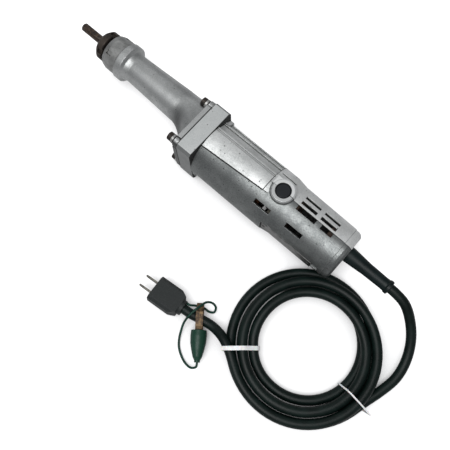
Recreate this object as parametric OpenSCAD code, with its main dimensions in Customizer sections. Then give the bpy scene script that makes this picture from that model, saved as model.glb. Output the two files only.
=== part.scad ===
// Straight hand grinder with a geared, offset spindle, its cord, plug and earth clip.
// Frame: +X runs along the tool towards the spindle nose, +Z is up, the floor is z = 0.
// The tool lies on one side of its square gear plate, and the origin is the middle of
// that resting side. The motor axis lies over the X axis.

/* [Gear plate] */
// Side of the square gear plate
plate_w = 71; // [68:0.5:80]
// Thickness of the gear plate
plate_t = 20; // [16:1:26]
// Flat across each corner of the gear plate, along one side
plate_chamfer = 4.5; // [2:0.5:7]
// Distance of the flange screws from the plate's sides
screw_inset = 8; // [7.5:0.5:8.5]
// Diameter of the flange screws' thread
screw_d = 6; // [5:0.5:6]

/* [Gears] */
// Tooth module of the gear pair
gear_module = 1; // [1:0.02:1.1]
// Teeth on the pinion of the armature shaft
pinion_teeth = 12; // [11:1:13]
// Teeth on the spindle gear
wheel_teeth = 19; // [18:1:21]
// Width of both gears
gear_w = 12; // [9:1:13]

/* [Spindle nose] */
// Diameter of the tool shank in the collet
shank_d = 10; // [6:0.5:10]
// Length of shank that stands out of the nut
shank_out = 32.5; // [10:0.5:60]
// Outer diameter of the collet nut
nut_d = 37; // [33:0.5:42]
// Length of the collet nut
nut_l = 13.5; // [12:0.5:20]
// Gap between the nose cap and the collet nut
nut_gap = 4.5; // [3:0.5:6]
// Outer diameter of the nose cap
cap_d = 43.5; // [40:0.5:48]
// Length of the nose cap that shows
cap_l = 18.5; // [16:0.5:24]
// Thread diameter of the spindle nose
nose_thread_d = 24; // [22:0.5:26]

/* [Nose housing] */
// Diameter of the bearing head at the front of the nose housing
head_d = 46; // [44:0.5:52]
// Length of the bearing head
head_l = 9.5; // [8:0.5:16]
// Diameter of the neck behind the head
neck_front_d = 34.6; // [30:0.2:38]
// Diameter of the neck where it starts to flare
neck_rear_d = 41; // [38:0.5:43]
// Distance from the gear plate to the start of the flare
flare_x = 41; // [34:1:50]
// Distance from the gear plate to the front of the head
nose_l = 130.5; // [110:0.5:170]
// Thickness of the nose housing's flange
lip_t = 6; // [4:0.5:9]

/* [Motor casing] */
// Step down from the gear plate's sides to the round casing
body_step = 0.5; // [0.5:0.1:2]
// Outer diameter of the casing at the brushes
rear_d = 65.4; // [63:0.2:67]
// Outer diameter of the casing at its rear end
rear_end_d = 62.6; // [60:0.2:64]
// Length of the casing behind the gear plate
body_l = 193.5; // [185:0.5:230]
// Wall thickness of the casing
wall = 3; // [2:0.2:3.6]
// Distance from the gear plate to the front of the rear cover
cover_x = 83; // [80:0.5:86]
// Sideways place of the parting plane behind the switch
part_y = -2.8; // [-4:0.1:0]
// Play left at the joints between casing parts
seam = 0.2; // [0.1:0.05:0.4]

/* [Switch] */
// Distance from the gear plate to the switch
switch_x = 100.6; // [98:0.2:103]
// Outer diameter of the ring round the switch
switch_ring_d = 28.4; // [26:0.2:30]
// Height of the ring's top over the casing
switch_rise = 2.5; // [1:0.1:4]
// Diameter of the push button
button_d = 16; // [13:0.2:17]
// Travel of the push button
button_travel = 3; // [2:0.5:4]

/* [Motor] */
// Diameter of the armature's iron core
armature_d = 35; // [32:0.5:38]
// Length of the iron core and the field core
core_l = 42; // [36:1:43]
// Air gap between the armature and the field
air_gap = 0.6; // [0.4:0.1:1]
// Slots in the armature core
armature_slots = 12; // [10:1:16]
// Diameter of the commutator
commutator_d = 24; // [20:0.5:26]
// Bars of the commutator
commutator_bars = 24; // [16:1:28]
// Thickness of a carbon brush along the shaft
brush_t = 6.4; // [5:0.2:7]
// Width of a carbon brush round the commutator
brush_w = 9.4; // [8:0.2:10]
// Gap between the cooling fan and the casing
fan_gap = 3; // [2:0.5:6]
// Blades of the cooling fan
fan_blades = 11; // [7:1:15]

/* [Cord] */
// Diameter of the mains cord
cord_d = 11; // [9:0.5:11]
// Diameter of the earth lead
earth_d = 2.6; // [2:0.2:3]
// Length of the cord guard outside the casing
guard_l = 56; // [40:1:60]
// Height of the cord over the motor axis where it leaves the casing
guard_h = 8.5; // [4:0.5:10]

/* [Plug] */
// Width of the plug body
plug_w = 29.5; // [27:0.5:31]
// Thickness of the plug body
plug_t = 18.5; // [16:0.5:19]
// Length of the plug body
plug_l = 35; // [30:0.5:36]
// Distance between the middles of the two plug blades
blade_pitch = 12.7; // [12.7]

/* [Hidden] */

$fn = 64;

// Fits
fit = 0.02;          // radial play of pieces pressed or screwed together
running = 0.05;      // radial play of a turning shaft in its bearing
clear = 0.4;         // gap between pieces that move past each other
cut = 1;             // how far a cutting shape runs past the face it cuts

// Heights and planes
axis_h = plate_w / 2;
front_x = -plate_t / 2;          // where the casing meets the gear plate
nose_x = plate_t / 2;            // where the nose housing meets the gear plate
rear_x = front_x - body_l;
gear_pitch = gear_module * (pinion_teeth + wheel_teeth) / 2;
spindle_y = -gear_pitch;
screw_pitch = plate_w - 2 * screw_inset;
plate_side_y = plate_w / 2 - 1.4;   // the plate is a little narrower than it is high

// Bearings: bore, outer diameter, width
big_bearing = [15, 35, 11];
mid_bearing = [12, 28, 8];
drive_bearing = [10, 26, 8];
tail_bearing = [8, 22, 7];

// Stations of the spindle, from the gear plate forwards
gear_x = nose_x + 1.5;
mid_bearing_x = gear_x + gear_w + 2.5;
head_front_x = nose_x + nose_l;
cap_front_x = head_front_x + 1.5 + cap_l;
nut_x = cap_front_x + nut_gap;
nut_front_x = nut_x + nut_l;
big_bearing_x = head_front_x - big_bearing[2] - 5;
spigot_l = head_front_x - big_bearing_x - big_bearing[2];
spindle_end_x = nut_front_x - 5;
collet_l = 28;
tunnel_r = neck_front_d / 2 - 6.5;

// Collet cone
held_r = shank_d / 2 - 0.4;      // the gripped stretch is turned down, up to a shoulder
collet_big_r = held_r + 4;
collet_small_r = held_r + 2;
// Cone at the front of the collet, which the nut presses on
nose_cone_x0 = spindle_end_x + 1.2;
nose_cone_x1 = nut_front_x - 1.4;

// Flange screws
head_screw_r = screw_d * 5 / 6;
washer_t = 1.6;
collar_t = 2.8;                  // bright plain collar between spring washer and head
screw_floor = 3;                 // plate left behind the blind hole of a flange screw

// Feet of the casing behind the gear plate, and the sunk screws that hold the casing on
foot_t = 5;
foot_chamfer = 19;
foot_inner_y = 24;               // the feet start this far to each side of the motor axis
plate_screw_r = 2;
plate_screw_head_r = 3.4;
plate_screw_head_h = 3.6;
plate_screw_sink = plate_screw_head_h + 0.6;
plate_screw_reach = 5.5;
plate_boss_r = 4;
plate_boss_l = 7;
plate_screw_yz = [plate_w / 2 - 9.5, plate_w / 2 - 19.5];

// Casing profile, measured back from the gear plate
body_r = plate_w / 2 - body_step;
rear_r = rear_d / 2;
rear_end_r = rear_end_d / 2;
step_x0 = front_x - 101;
step_x1 = front_x - 114;
band_x = rear_x + 9.5;
end_r = rear_end_r - 4.5;
band_step = 0.7;
rear_wall = 4;

// Joint lines of the casing
cover_front_x = front_x - cover_x;
strip_y0 = 14.5;
strip_y1 = 9.4;
switch_cx = front_x - switch_x;
ring_r = switch_ring_d / 2;
ring_top = axis_h + body_r + switch_rise;
ring_chamfer = 2;
neck_r = button_d / 2 + clear;   // hole of the switch's neck
ring_bore_r = neck_r + 0.5;

// Raised pad of the rear cover in front of the ring
pad_w = 10.5;
pad_bevel = 3.2;
pad_top = ring_top - 0.7;

// Slots of the left shell, vents and notches: distance from the gear plate, length, width
shoulder_turn = 40;
shoulder_slots = [[82.6, 21.3, 6], [124.4, 21.3, 6]];
vent_starts = [122.6, 148.6];
vent_l = 20.4;
vent_w = 4.4;
vent_turns = [29.5, 14.5];
notches = [[122.2, 25.2], [154.4, 15]];
notch_w = 5.6;
side_slot = [86.4, 19.4, 2.4];
side_slot_turn = 35;
vent_depth = 12;

// Flank of the motor housing: turn about the motor axis and width of each long groove
flank_grooves = [[18.4, 3, 0.6], [33.2, 10.4, 1.9], [53.4, 10.4, 1.9], [73.2, 9.6, 1.9]];

// Nameplate, on a flat of the left shell
plate_face_y = rear_r - 1.9;
plate_wall = 2;
nameplate_t = 0.9;
flat_x0 = front_x - 101;
flat_l = 70;
flat_h = 24;
nameplate_l = flat_l - 1;
nameplate_h = 17.2;
pocket = [8.5, 7];
pocket_x = flat_x0 - flat_l - pocket[0] + 0.5;
rivet_r = 1;
rivet_inset = 4;
rivet_x = [flat_x0 - rivet_inset, flat_x0 - flat_l + rivet_inset];

// Screws that pull the rear cover and the left shell together
casing_screw_r = 1.5;
casing_screw_places = [[front_x - 136.5, -21.5], [rear_x + 13.5, -20]];
casing_head_y = 18;
casing_head_r = 3.2;

// Switch under its ring
switch_floor = axis_h + 17.5;
switch_box_l = 25;
switch_box_w = 21;
switch_deck = axis_h + sqrt(pow(rear_r - wall, 2) - pow(switch_box_w / 2 - part_y, 2)) - 0.3;

// Motor stations
drive_bearing_x = front_x + 1.5;
fan_x = front_x - 15;
fan_w = 11;
fan_r = body_r - wall - fan_gap;
coil_over = 8;
core_x0 = fan_x - fan_w - coil_over - 2;
core_x1 = core_x0 - core_l;
commutator_l = 20;
commutator_x = core_x1 - 14;
tail_bearing_x = commutator_x - commutator_l - 10;
brush_x = commutator_x - commutator_l / 2;
shaft_r = 6;
field_r = body_r - wall - 0.1;
commutator_r = commutator_d / 2;

// Field
field_bore_r = armature_d / 2 + air_gap;
window_r0 = field_bore_r + 1.6;
window_r1 = field_r - 5;
window_half = 38;

// Brush gear
holder_wall = 1.3;
holder_y0 = commutator_r + 1.6;
holder_y1 = 27.5;
bracket_t = 10;
bracket_r = rear_r - wall - 1.8;

// Cord guard
guard_y = part_y;
guard_z = axis_h + guard_h;
guard_seat_r = 8.2;
guard_root_r = 9.2;
guard_neck_r = 7.4;
guard_tip_r = 6.9;
guard_lip_r = 8;
cord_r = cord_d / 2;

// Coil of cord on the floor: it enters at coil_in, runs clockwise seen from above and
// leaves at coil_out, spiralling in on the floor layer and out on the upper one. The floor
// layer lies a little to one side of the upper one.
tie_t = 1.3;
tie_play = 0.3;
wide_tie_turn = 42;
thin_tie_turn = 174;
coil_x = -234.5;
coil_y = 98.8;
coil_r = 84.5;
floor_shift = [4.1, -3.3, 0];
coil_in = 165;
coil_out = 58;
coil_turns = 4;
coil_rate = cord_d + 1;           // change of radius in a turn
coil_steps = 24;                  // rings in a turn
coil_low = tie_t + cord_r + tie_play;
coil_high = coil_low + cord_d + 0.8;
coil_sweep = 360 * coil_turns + coil_in - coil_out;
inward_sweep = 840;               // sweep at which the coil turns from inward to outward
climb_sweep = 110;
coil_rings = round(coil_sweep / 360 * coil_steps);

function coil_radius(a) = coil_r - coil_rate * (inward_sweep - abs(a - inward_sweep)) / 360;
function coil_rise(a) = (1 - cos(180 * min(1, max(0, (a - inward_sweep) / climb_sweep + 0.5)))) / 2;
function coil_point(a) = [coil_x + coil_radius(a) * cos(coil_in - a),
    coil_y + coil_radius(a) * sin(coil_in - a), coil_low + (coil_high - coil_low) * coil_rise(a)]
    + (1 - coil_rise(a)) * floor_shift;
function coil_tangent(a) = [sin(coil_in - a), -cos(coil_in - a), 0];

// Distances of the turns that pass one angle from the coil's middle
function coil_reach(turn) = [for (a = [(coil_in - turn + 360) % 360:360:coil_sweep])
    (coil_point(a) - [coil_x, coil_y, 0]) * [cos(turn), sin(turn), 0]];

coil_start = coil_point(0) - cord_d * coil_tangent(0);
coil_end = coil_point(coil_sweep) + cord_d * coil_tangent(coil_sweep);
coil_path = concat([coil_start], [for (i = [0:coil_rings]) coil_point(coil_sweep * i / coil_rings)],
    [coil_end]);

// Plug: it points along +X, turned plug_turn about Z and rolled plug_roll about its own axis
plug_x = -68;
plug_y = 159.5;
plug_turn = 6.5;
plug_roll = 9;
plug_z = plug_t / 2 * cos(plug_roll) + plug_w / 2 * sin(plug_roll) + 0.2;
plug_neck_l = 4;
blade_t = 1.5;
blade_w = 6.3;
blade_out = 16.5;
blade_root = 12;
plug_neck_r = cord_r + 3.4;
plug_axis = [cos(plug_turn), sin(plug_turn), 0];
plug_back = [plug_x - (plug_l + plug_neck_l) * cos(plug_turn),
    plug_y - (plug_l + plug_neck_l) * sin(plug_turn), plug_z];

// Routes of the free cord, from the tool to the coil and from the coil to the plug
clamp_x = rear_x + 20;
clamp_l = 10;
clamp_screw_z = [guard_z - 9.5, guard_z + 9.5];
cord_inner_x = clamp_x + clamp_l + 1.5;
guard_end = [rear_x - guard_l, guard_y, guard_z];
tool_route = [[cord_inner_x, guard_y, guard_z], [rear_x, guard_y, guard_z],
    [rear_x - guard_l / 2, guard_y, guard_z], guard_end, guard_end - [6, 0, 0.3],
    [-281, -1, 40.5], [-298, 7, 30], [-313, 21, 20], [-323, 40, 12], [-326, 60, 9], [-322, 82, 7.6],
    coil_start - 0.6 * cord_d * coil_tangent(0), coil_start];
plug_route = [coil_end, coil_end + 0.6 * cord_d * coil_tangent(coil_sweep),
    [-161.5, 150.4, 16.6], [-144.5, 148.2, 10.6], [-127, 151.3, 9.4], plug_back - 10 * plug_axis, plug_back];

// Earth clip: pin of its jaws, heading of its jaws about Z
clip_x = -134.4;
clip_y = 160.2;
clip_z = 9.4;
clip_turn = -51.6;
clip_pin_r = 1.4;
clip_strip = 0.9;
clip_w = 8;
clip_cord_h = cord_r + 1.1;
clip_line = [[-20, 2.4], [-3, 3.6], [3, clip_cord_h], [18.5, clip_cord_h], [28.5, 0.35]];
boot_tail = 35.5;
boot_mouth = 1.2;
boot_r = 8.6;
boot_tail_r = 3.2;
boot_wall = 1.1;
clip_tail = [clip_x - boot_tail * cos(clip_turn), clip_y - boot_tail * sin(clip_turn), clip_z];

earth_r = earth_d / 2;
earth_start = plug_back + (cord_r + 0.2 + earth_r) * [sin(plug_turn), -cos(plug_turn), 0];
earth_route = [earth_start, earth_start - 3 * plug_axis, [-113, 144, 5], [-117.5, 141, 2], [-123, 139, 1.5],
    [-129, 138.5, 2.2], [-134, 135.5, 5], [-132.5, 130.5, 8.5], [-127, 129.5, 12.5], [-122, 133, 16],
    [-120, 140, 19.6], [-118.6, 148, 21], [-117.6, 157, 20], [-117.6, 166, 12.6], [-120, 174, 5],
    [-124, 182, 1.8], [-130, 189, 1.6], [-138, 194, 1.8], [-147, 197, 3], [-155, 196.5, 6],
    [-158.8, 192, 8.6], clip_tail + [-0.6, 0.8, 0]];

// Wires inside the casing, from the cord clamp to the switch
lead_x0 = cord_inner_x + 0.1;
lead_x1 = switch_cx - switch_box_l / 2 - 0.1;
lead_z = axis_h + 19.1;
lead_y = 5.8;
lead_route = [for (k = [[0, 0, 0], [0.08, 0, 0], [0.25, 0.33, 0.15], [0.41, 0.79, 0.52],
    [0.57, 0.97, 0.85], [0.72, 1, 1], [0.88, 1, 1], [1, 1, 1]])
    [lead_x0 + (lead_x1 - lead_x0) * k[0], guard_y + (lead_y - guard_y) * k[1],
    guard_z + (lead_z - guard_z) * k[2]]];

function unit(v) = v / norm(v);
function path_tangents(p) = [for (i = [0:len(p) - 1]) unit(p[min(i + 1, len(p) - 1)] - p[max(i - 1, 0)])];
function path_length(p) = len(p) < 2 ? 0 : [for (i = [1:len(p) - 1]) norm(p[i] - p[i - 1])]
    * [for (i = [1:len(p) - 1]) 1];

// Least gap between turns of the coil, over points more than half a turn apart on the path
coil_gap = min([for (i = [0:coil_rings - 12]) min([for (j = [i + 12:coil_rings])
    norm(coil_path[i] - coil_path[j])])]) - cord_d;
echo(coil_gap = coil_gap);
echo(cord_length = path_length(tool_route) + path_length(coil_path) + path_length(plug_route));

// Places a shape drawn along +Z so that it runs along +X on the motor axis
module on_motor(x = 0) {
    translate([x, 0, axis_h]) rotate([0, 90, 0]) children();
}

// The same on the spindle axis
module on_spindle(x = 0) {
    translate([x, spindle_y, axis_h]) rotate([0, 90, 0]) children();
}

module ring(r_out, r_in, l) {
    difference() {
        cylinder(r = r_out, h = l);
        translate([0, 0, -cut]) cylinder(r = r_in, h = l + 2 * cut);
    }
}

module tube_along(path, r, sides) {
    tangents = path_tangents(path);
    points = [for (i = [0:len(path) - 1])
        let (side = unit(cross([0, 0, 1], tangents[i])), up = cross(tangents[i], side))
        for (k = [0:sides - 1]) let (a = 360 * k / sides)
        path[i] + r * (cos(a) * side + sin(a) * up)];
    last = (len(path) - 1) * sides;
    walls = [for (i = [0:len(path) - 2]) for (k = [0:sides - 1])
        let (a = i * sides + k, b = i * sides + (k + 1) % sides)
        each [[a, a + sides, b + sides], [a, b + sides, b]]];
    start = [for (k = [1:sides - 2]) [0, k, k + 1]];
    end = [for (k = [1:sides - 2]) [last, last + k + 1, last + k]];
    polyhedron(points = points, faces = concat(walls, start, end), convexity = 10);
}

// A shielded ball bearing along +Z from z = 0, its rings joined by the sunk shields
module ball_bearing(size) {
    bore_r = size[0] / 2 + running;
    outer_r = size[1] / 2;
    race = (outer_r - bore_r) * 0.3;
    sunk = 0.5;
    rotate_extrude() polygon([[bore_r, 0], [bore_r + race, 0], [bore_r + race, sunk],
        [outer_r - race, sunk], [outer_r - race, 0], [outer_r, 0], [outer_r, size[2]],
        [outer_r - race, size[2]], [outer_r - race, size[2] - sunk], [bore_r + race, size[2] - sunk],
        [bore_r + race, size[2]], [bore_r, size[2]]]);
}

// Involute spur gear outline: points along one flank from the base circle to the tip
function involute(base, r) = let (t = sqrt(max(0, pow(r / base, 2) - 1)) * 180 / PI)
    t - atan(t * PI / 180);
module spur_outline(teeth, addendum, play) {
    pitch = gear_module * teeth / 2;
    base = pitch * cos(20);
    root = pitch - 1.25 * gear_module;
    tip = pitch + addendum * gear_module;
    half = 90 / teeth - play / pitch * 90 / PI;
    flank = [for (k = [0:5]) let (r = max(root, base) + (tip - max(root, base)) * k / 5)
        [r, half + involute(base, pitch) - involute(base, r)]];
    points = [for (i = [0:teeth - 1]) each concat(
        [[root, i * 360 / teeth - flank[0][1]]],
        [for (p = flank) [p[0], i * 360 / teeth - p[1]]],
        [for (k = [5:-1:0]) [flank[k][0], i * 360 / teeth + flank[k][1]]],
        [[root, i * 360 / teeth + flank[0][1]]])];
    polygon([for (p = points) p[0] * [cos(p[1]), sin(p[1])]]);
}

// ---- Spindle and collet ----

module mandrel_shank() {
    free_x = nut_front_x + 1.2;
    free_l = nut_front_x + shank_out - free_x;
    tip = 1;
    color("#4a3a30") {
        on_spindle(spindle_end_x - collet_l + 2)
            cylinder(r = held_r, h = free_x - spindle_end_x + collet_l - 2);
        on_spindle(free_x) cylinder(d = shank_d, h = free_l - tip);
        on_spindle(free_x + free_l - tip) cylinder(d1 = shank_d, d2 = shank_d - 2 * tip, h = tip);
    }
}

module collet() {
    slit = 1.2;
    slits = 3;
    l_front = nut_front_x + 1 - spindle_end_x;
    color("#8d8a84") on_spindle(spindle_end_x) difference() {
        union() {
            translate([0, 0, -collet_l]) cylinder(r1 = collet_small_r, r2 = collet_big_r, h = collet_l);
            cylinder(r = collet_big_r, h = nose_cone_x0 - spindle_end_x);
            translate([0, 0, nose_cone_x0 - spindle_end_x])
                cylinder(r1 = collet_big_r, r2 = collet_small_r, h = nose_cone_x1 - nose_cone_x0);
            translate([0, 0, nose_cone_x1 - spindle_end_x])
                cylinder(r = collet_small_r, h = nut_front_x + 1 - nose_cone_x1);
        }
        translate([0, 0, -collet_l - cut]) cylinder(r = held_r + fit, h = collet_l + l_front + 2 * cut);
        for (i = [0:slits - 1]) rotate(i * 360 / slits + 20)
            translate([0, -slit / 2, -collet_l + 8]) cube([collet_big_r + cut, slit, collet_l + l_front]);
    }
}

module collet_nut() {
    thread_r = nose_thread_d / 2 + running;
    straight = nut_l * 0.5;
    hole_r = collet_small_r + clear;
    cone_z = nose_cone_x0 - nut_x;
    notch_w = 6;
    color("#4b3b33") on_spindle(nut_x) difference() {
        union() {
            cylinder(d1 = nut_d - 1.6, d2 = nut_d, h = 0.8);
            translate([0, 0, 0.8]) cylinder(d = nut_d, h = straight - 0.8);
            translate([0, 0, straight]) cylinder(d1 = nut_d, d2 = nut_d - 7, h = (nut_l - straight) * 0.55);
            translate([0, 0, straight + (nut_l - straight) * 0.55])
                cylinder(d1 = nut_d - 7, d2 = 2 * hole_r + 5, h = (nut_l - straight) * 0.45);
        }
        translate([0, 0, -cut]) cylinder(r = thread_r, h = cone_z + cut);
        translate([0, 0, cone_z - 0.01])
            cylinder(r1 = collet_big_r + clear, r2 = hole_r, h = nose_cone_x1 - nose_cone_x0 + 0.01);
        cylinder(r = hole_r, h = nut_l + cut);
        // Hook-spanner notches round the rear edge
        for (i = [0:3]) rotate(i * 90 + 35)
            translate([nut_d / 2 - 2.4, -notch_w / 2, -cut]) cube([nut_d, notch_w, straight + cut - 1.5]);
    }
}

module spindle() {
    seat = mid_bearing[0] / 2;
    front_seat = big_bearing[0] / 2;
    stem_r = front_seat - 0.4;
    flat_l = nut_gap - 0.6;
    thread_l = spindle_end_x - cap_front_x - flat_l;
    color("#6d6a66") difference() {
        union() {
            on_spindle(gear_x - 0.3) cylinder(r = seat, h = mid_bearing_x + mid_bearing[2] + 1.3 - gear_x);
            on_spindle(mid_bearing_x + mid_bearing[2] + 0.5)
                cylinder(r = stem_r, h = big_bearing_x - mid_bearing_x - mid_bearing[2] - 0.5);
            on_spindle(big_bearing_x - 0.5) cylinder(r = front_seat, h = big_bearing[2] + 1);
            on_spindle(big_bearing_x + big_bearing[2] + 0.3)
                cylinder(r = nose_thread_d / 2 - 1, h = cap_front_x - big_bearing_x - big_bearing[2] - 0.3);
            on_spindle(cap_front_x) intersection() {
                cylinder(r = nose_thread_d / 2 + 1, h = flat_l);
                translate([-nose_thread_d, -nose_thread_d / 2 + 1.5, 0])
                    cube([2 * nose_thread_d, nose_thread_d - 3, flat_l]);
            }
            on_spindle(cap_front_x + flat_l) cylinder(r = nose_thread_d / 2, h = thread_l);
        }
        on_spindle(spindle_end_x - collet_l - 1)
            cylinder(r1 = collet_small_r + fit, r2 = collet_big_r + fit + 0.02, h = collet_l + 1.02);
        on_spindle(spindle_end_x - collet_l - 12) cylinder(r = shank_d / 2 + 0.5, h = 12);
    }
}

module spindle_gear() {
    color("#77736b") on_spindle(gear_x) difference() {
        linear_extrude(gear_w) rotate(90 + 180 / wheel_teeth) spur_outline(wheel_teeth, 0.8, 0.06);
        translate([0, 0, -cut]) cylinder(r = mid_bearing[0] / 2 + fit, h = gear_w + 2 * cut);
    }
}

module gear_spacer() {
    color("#8a8781") on_spindle(gear_x + gear_w) ring(mid_bearing[0] / 2 + 2.2, mid_bearing[0] / 2 + fit,
        mid_bearing_x - gear_x - gear_w);
}

module nose_cap() {
    bore_r = nose_thread_d / 2 - 1 + clear;
    slot_w = 5.5;
    slot_l = 7;
    seal_l = 6.5;
    cap_taper = 5.5;
    color("#a9acae") difference() {
        union() {
            on_spindle(head_front_x - spigot_l) cylinder(r = big_bearing[1] / 2 - fit, h = spigot_l + 1);
            on_spindle(head_front_x + seam) cylinder(r = head_d / 2 - 1.2, h = 1.5 - seam);
            on_spindle(head_front_x + 1.5) cylinder(d = cap_d, h = cap_l - cap_taper);
            on_spindle(cap_front_x - cap_taper) cylinder(d1 = cap_d, d2 = cap_d - 3.6, h = cap_taper);
        }
        on_spindle(head_front_x - spigot_l - cut) cylinder(r = bore_r, h = cap_l + spigot_l + 4 * cut);
        on_spindle(head_front_x - spigot_l - cut) cylinder(r = bore_r + 2.6, h = spigot_l + seal_l + cut);
        for (i = [0:3]) on_spindle(cap_front_x - 4 - slot_l) rotate(i * 90 + 148)
            translate([cap_d / 2 - 2.8, -slot_w / 2, 0]) cube([5, slot_w, slot_l]);
    }
}

module dust_seal() {
    color("#5d564c") on_spindle(head_front_x + 1.2) ring(nose_thread_d / 2 - 1 + clear + 2.6 - fit,
        nose_thread_d / 2 - 1 + running, 5);
}

module front_bearing() {
    color("#b9bcbe") on_spindle(big_bearing_x) ball_bearing(big_bearing);
}

module rear_spindle_bearing() {
    color("#b9bcbe") on_spindle(mid_bearing_x) ball_bearing(mid_bearing);
}

// ---- Nose housing, gear plate and their fasteners ----

module flange_outline(inset = 0, chamfer = plate_chamfer) {
    half = plate_w / 2 - inset;
    flat_half = half - chamfer;
    side = plate_side_y - inset;
    polygon([[-half, -flat_half], [-flat_half, -side], [flat_half, -side], [half, -flat_half],
        [half, flat_half], [flat_half, side], [-flat_half, side], [-half, flat_half]]);
}

module screw_places() {
    for (sy = [-1, 1], sz = [-1, 1])
        translate([0, sy * screw_pitch / 2, sz * screw_pitch / 2]) children();
}

// Outline of the flare at share w of the way from the round neck to the square flange. Its
// ends lie just inside the neck and the flange.
function flare_point(w, a) = let (r = neck_rear_d / 2 - 0.08, p = [r * cos(a) + spindle_y, r * sin(a)],
    q = [(plate_side_y - 0.6) * sign(cos(a)) * pow(abs(cos(a)), 0.5),
    (plate_w / 2 - 0.6) * sign(sin(a)) * pow(abs(sin(a)), 0.5)]) p + w * (q - p);

module flare() {
    flare_root = 1.2;
    sides = 72;
    steps = 10;
    points = [for (i = [0:steps]) for (k = [0:sides - 1])
        let (t = i / steps, p = flare_point(pow(1 - t, 1.9), 360 * k / sides))
        [nose_x + flare_root + (flare_x - flare_root) * t, p[0], axis_h + p[1]]];
    walls = [for (i = [0:steps - 1]) for (k = [0:sides - 1])
        let (a = i * sides + k, b = i * sides + (k + 1) % sides)
        each [[a, b + sides, b], [a, a + sides, b + sides]]];
    root = [for (k = [1:sides - 2]) [0, k, k + 1]];
    far = steps * sides;
    mouth = [for (k = [1:sides - 2]) [far, far + k + 1, far + k]];
    polyhedron(points = points, faces = concat(walls, root, mouth), convexity = 6);
}

module plate_screw_places() {
    for (sy = [-1, 1], sz = [-1, 1])
        translate([0, sy * plate_screw_yz[0], sz * plate_screw_yz[1]]) children();
}

module nose_housing() {
    neck_r0 = neck_front_d / 2;
    neck_r1 = neck_rear_d / 2;
    head_r = head_d / 2;
    head_x = head_front_x - head_l;
    waist = nose_x + flare_x;
    lug_r = head_screw_r + 1.3;
    pocket_l = 15;
    color("#9ea3a6") difference() {
        union() {
            flare();
            // Neck and head
            on_spindle() rotate_extrude() polygon([[0, waist - 0.5], [neck_r1, waist - 0.5],
                [neck_r1, waist], [neck_r0, head_x - 9], [neck_r0 + 0.5, head_x - 5],
                [neck_r0 + 1.8, head_x - 2], [head_r - 0.8, head_x], [head_r, head_x + 0.8],
                [head_r, head_front_x - 0.8], [head_r - 0.8, head_front_x], [0, head_front_x]]);
            // Flange with a lug under each screw
            on_motor(nose_x) linear_extrude(lip_t) flange_outline(0, screw_inset + lug_r - 2.5);
            on_motor(nose_x) linear_extrude(lip_t) for (sy = [-1, 1], sz = [-1, 1])
                translate([sz, sy] * screw_pitch / 2) circle(r = lug_r);
        }
        // Gear chamber, bearing seats and the tunnel of the spindle
        on_spindle(nose_x - cut)
            cylinder(d = mid_bearing[1] + 2 * fit, h = mid_bearing_x + mid_bearing[2] - nose_x + cut);
        on_motor(nose_x - cut) cylinder(r = gear_module * (pinion_teeth / 2 + 1) + 1.5, h = gear_w + 4 + cut);
        on_spindle(nose_x) cylinder(r = tunnel_r, h = nose_l + cut);
        on_spindle(big_bearing_x) cylinder(d = big_bearing[1] + 2 * fit, h = nose_l);
        screw_places() translate([nose_x - cut, 0, axis_h]) rotate([0, 90, 0])
            cylinder(d = screw_d + 0.6, h = lip_t + 2 * cut);
        // Room over the lugs for washers and heads
        screw_places() translate([nose_x + lip_t, 0, axis_h]) rotate([0, 90, 0])
            cylinder(r = head_screw_r + 0.9, h = pocket_l);
    }
}

module gear_plate() {
    color("#b4b8ba") difference() {
        on_motor(front_x) linear_extrude(plate_t) flange_outline();
        on_motor(front_x - cut) cylinder(d = drive_bearing[1] + 2 * fit,
            h = drive_bearing_x + drive_bearing[2] - front_x + cut);
        on_motor(front_x) cylinder(r = drive_bearing[0] / 2 + 2, h = plate_t + cut);
        screw_places() translate([front_x + screw_floor, 0, axis_h]) rotate([0, 90, 0])
            cylinder(d = screw_d + 2 * fit, h = plate_t);
        plate_screw_places() translate([front_x - cut, 0, axis_h]) rotate([0, 90, 0]) {
            cylinder(r = plate_screw_r + 0.2, h = plate_t + 2 * cut);
            translate([0, 0, cut + plate_t - plate_screw_sink])
                cylinder(r = plate_screw_head_r + 0.3, h = plate_screw_sink + cut);
        }
    }
}

// Cap screws sunk in the plate's front face, under the nose housing
module plate_screws() {
    shank_l = plate_t - plate_screw_sink + plate_screw_reach;
    head_x = nose_x - plate_screw_sink;
    color("#8a8d90") plate_screw_places() translate([head_x, 0, axis_h]) rotate([0, 90, 0]) difference() {
        union() {
            translate([0, 0, -shank_l]) cylinder(r = plate_screw_r, h = shank_l);
            cylinder(r = plate_screw_head_r, h = plate_screw_head_h);
        }
        translate([0, 0, plate_screw_head_h / 2])
            cylinder(r = plate_screw_r * 0.9, h = plate_screw_head_h, $fn = 6);
    }
}

module flange_screws() {
    seat_x = nose_x + lip_t + washer_t + collar_t;
    reach = seat_x - front_x - screw_floor - 0.5;
    head_h = screw_d * 0.92;
    color("#4b4541") screw_places() translate([seat_x, 0, axis_h]) rotate([0, 90, 0]) difference() {
        union() {
            translate([0, 0, -reach]) cylinder(d = screw_d, h = reach);
            cylinder(r = head_screw_r, h = head_h - 0.5);
            translate([0, 0, head_h - 0.5]) cylinder(r1 = head_screw_r, r2 = head_screw_r - 0.5, h = 0.5);
        }
        translate([0, 0, head_h / 2]) cylinder(r = screw_d * 0.48, h = screw_d, $fn = 6);
    }
}

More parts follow.
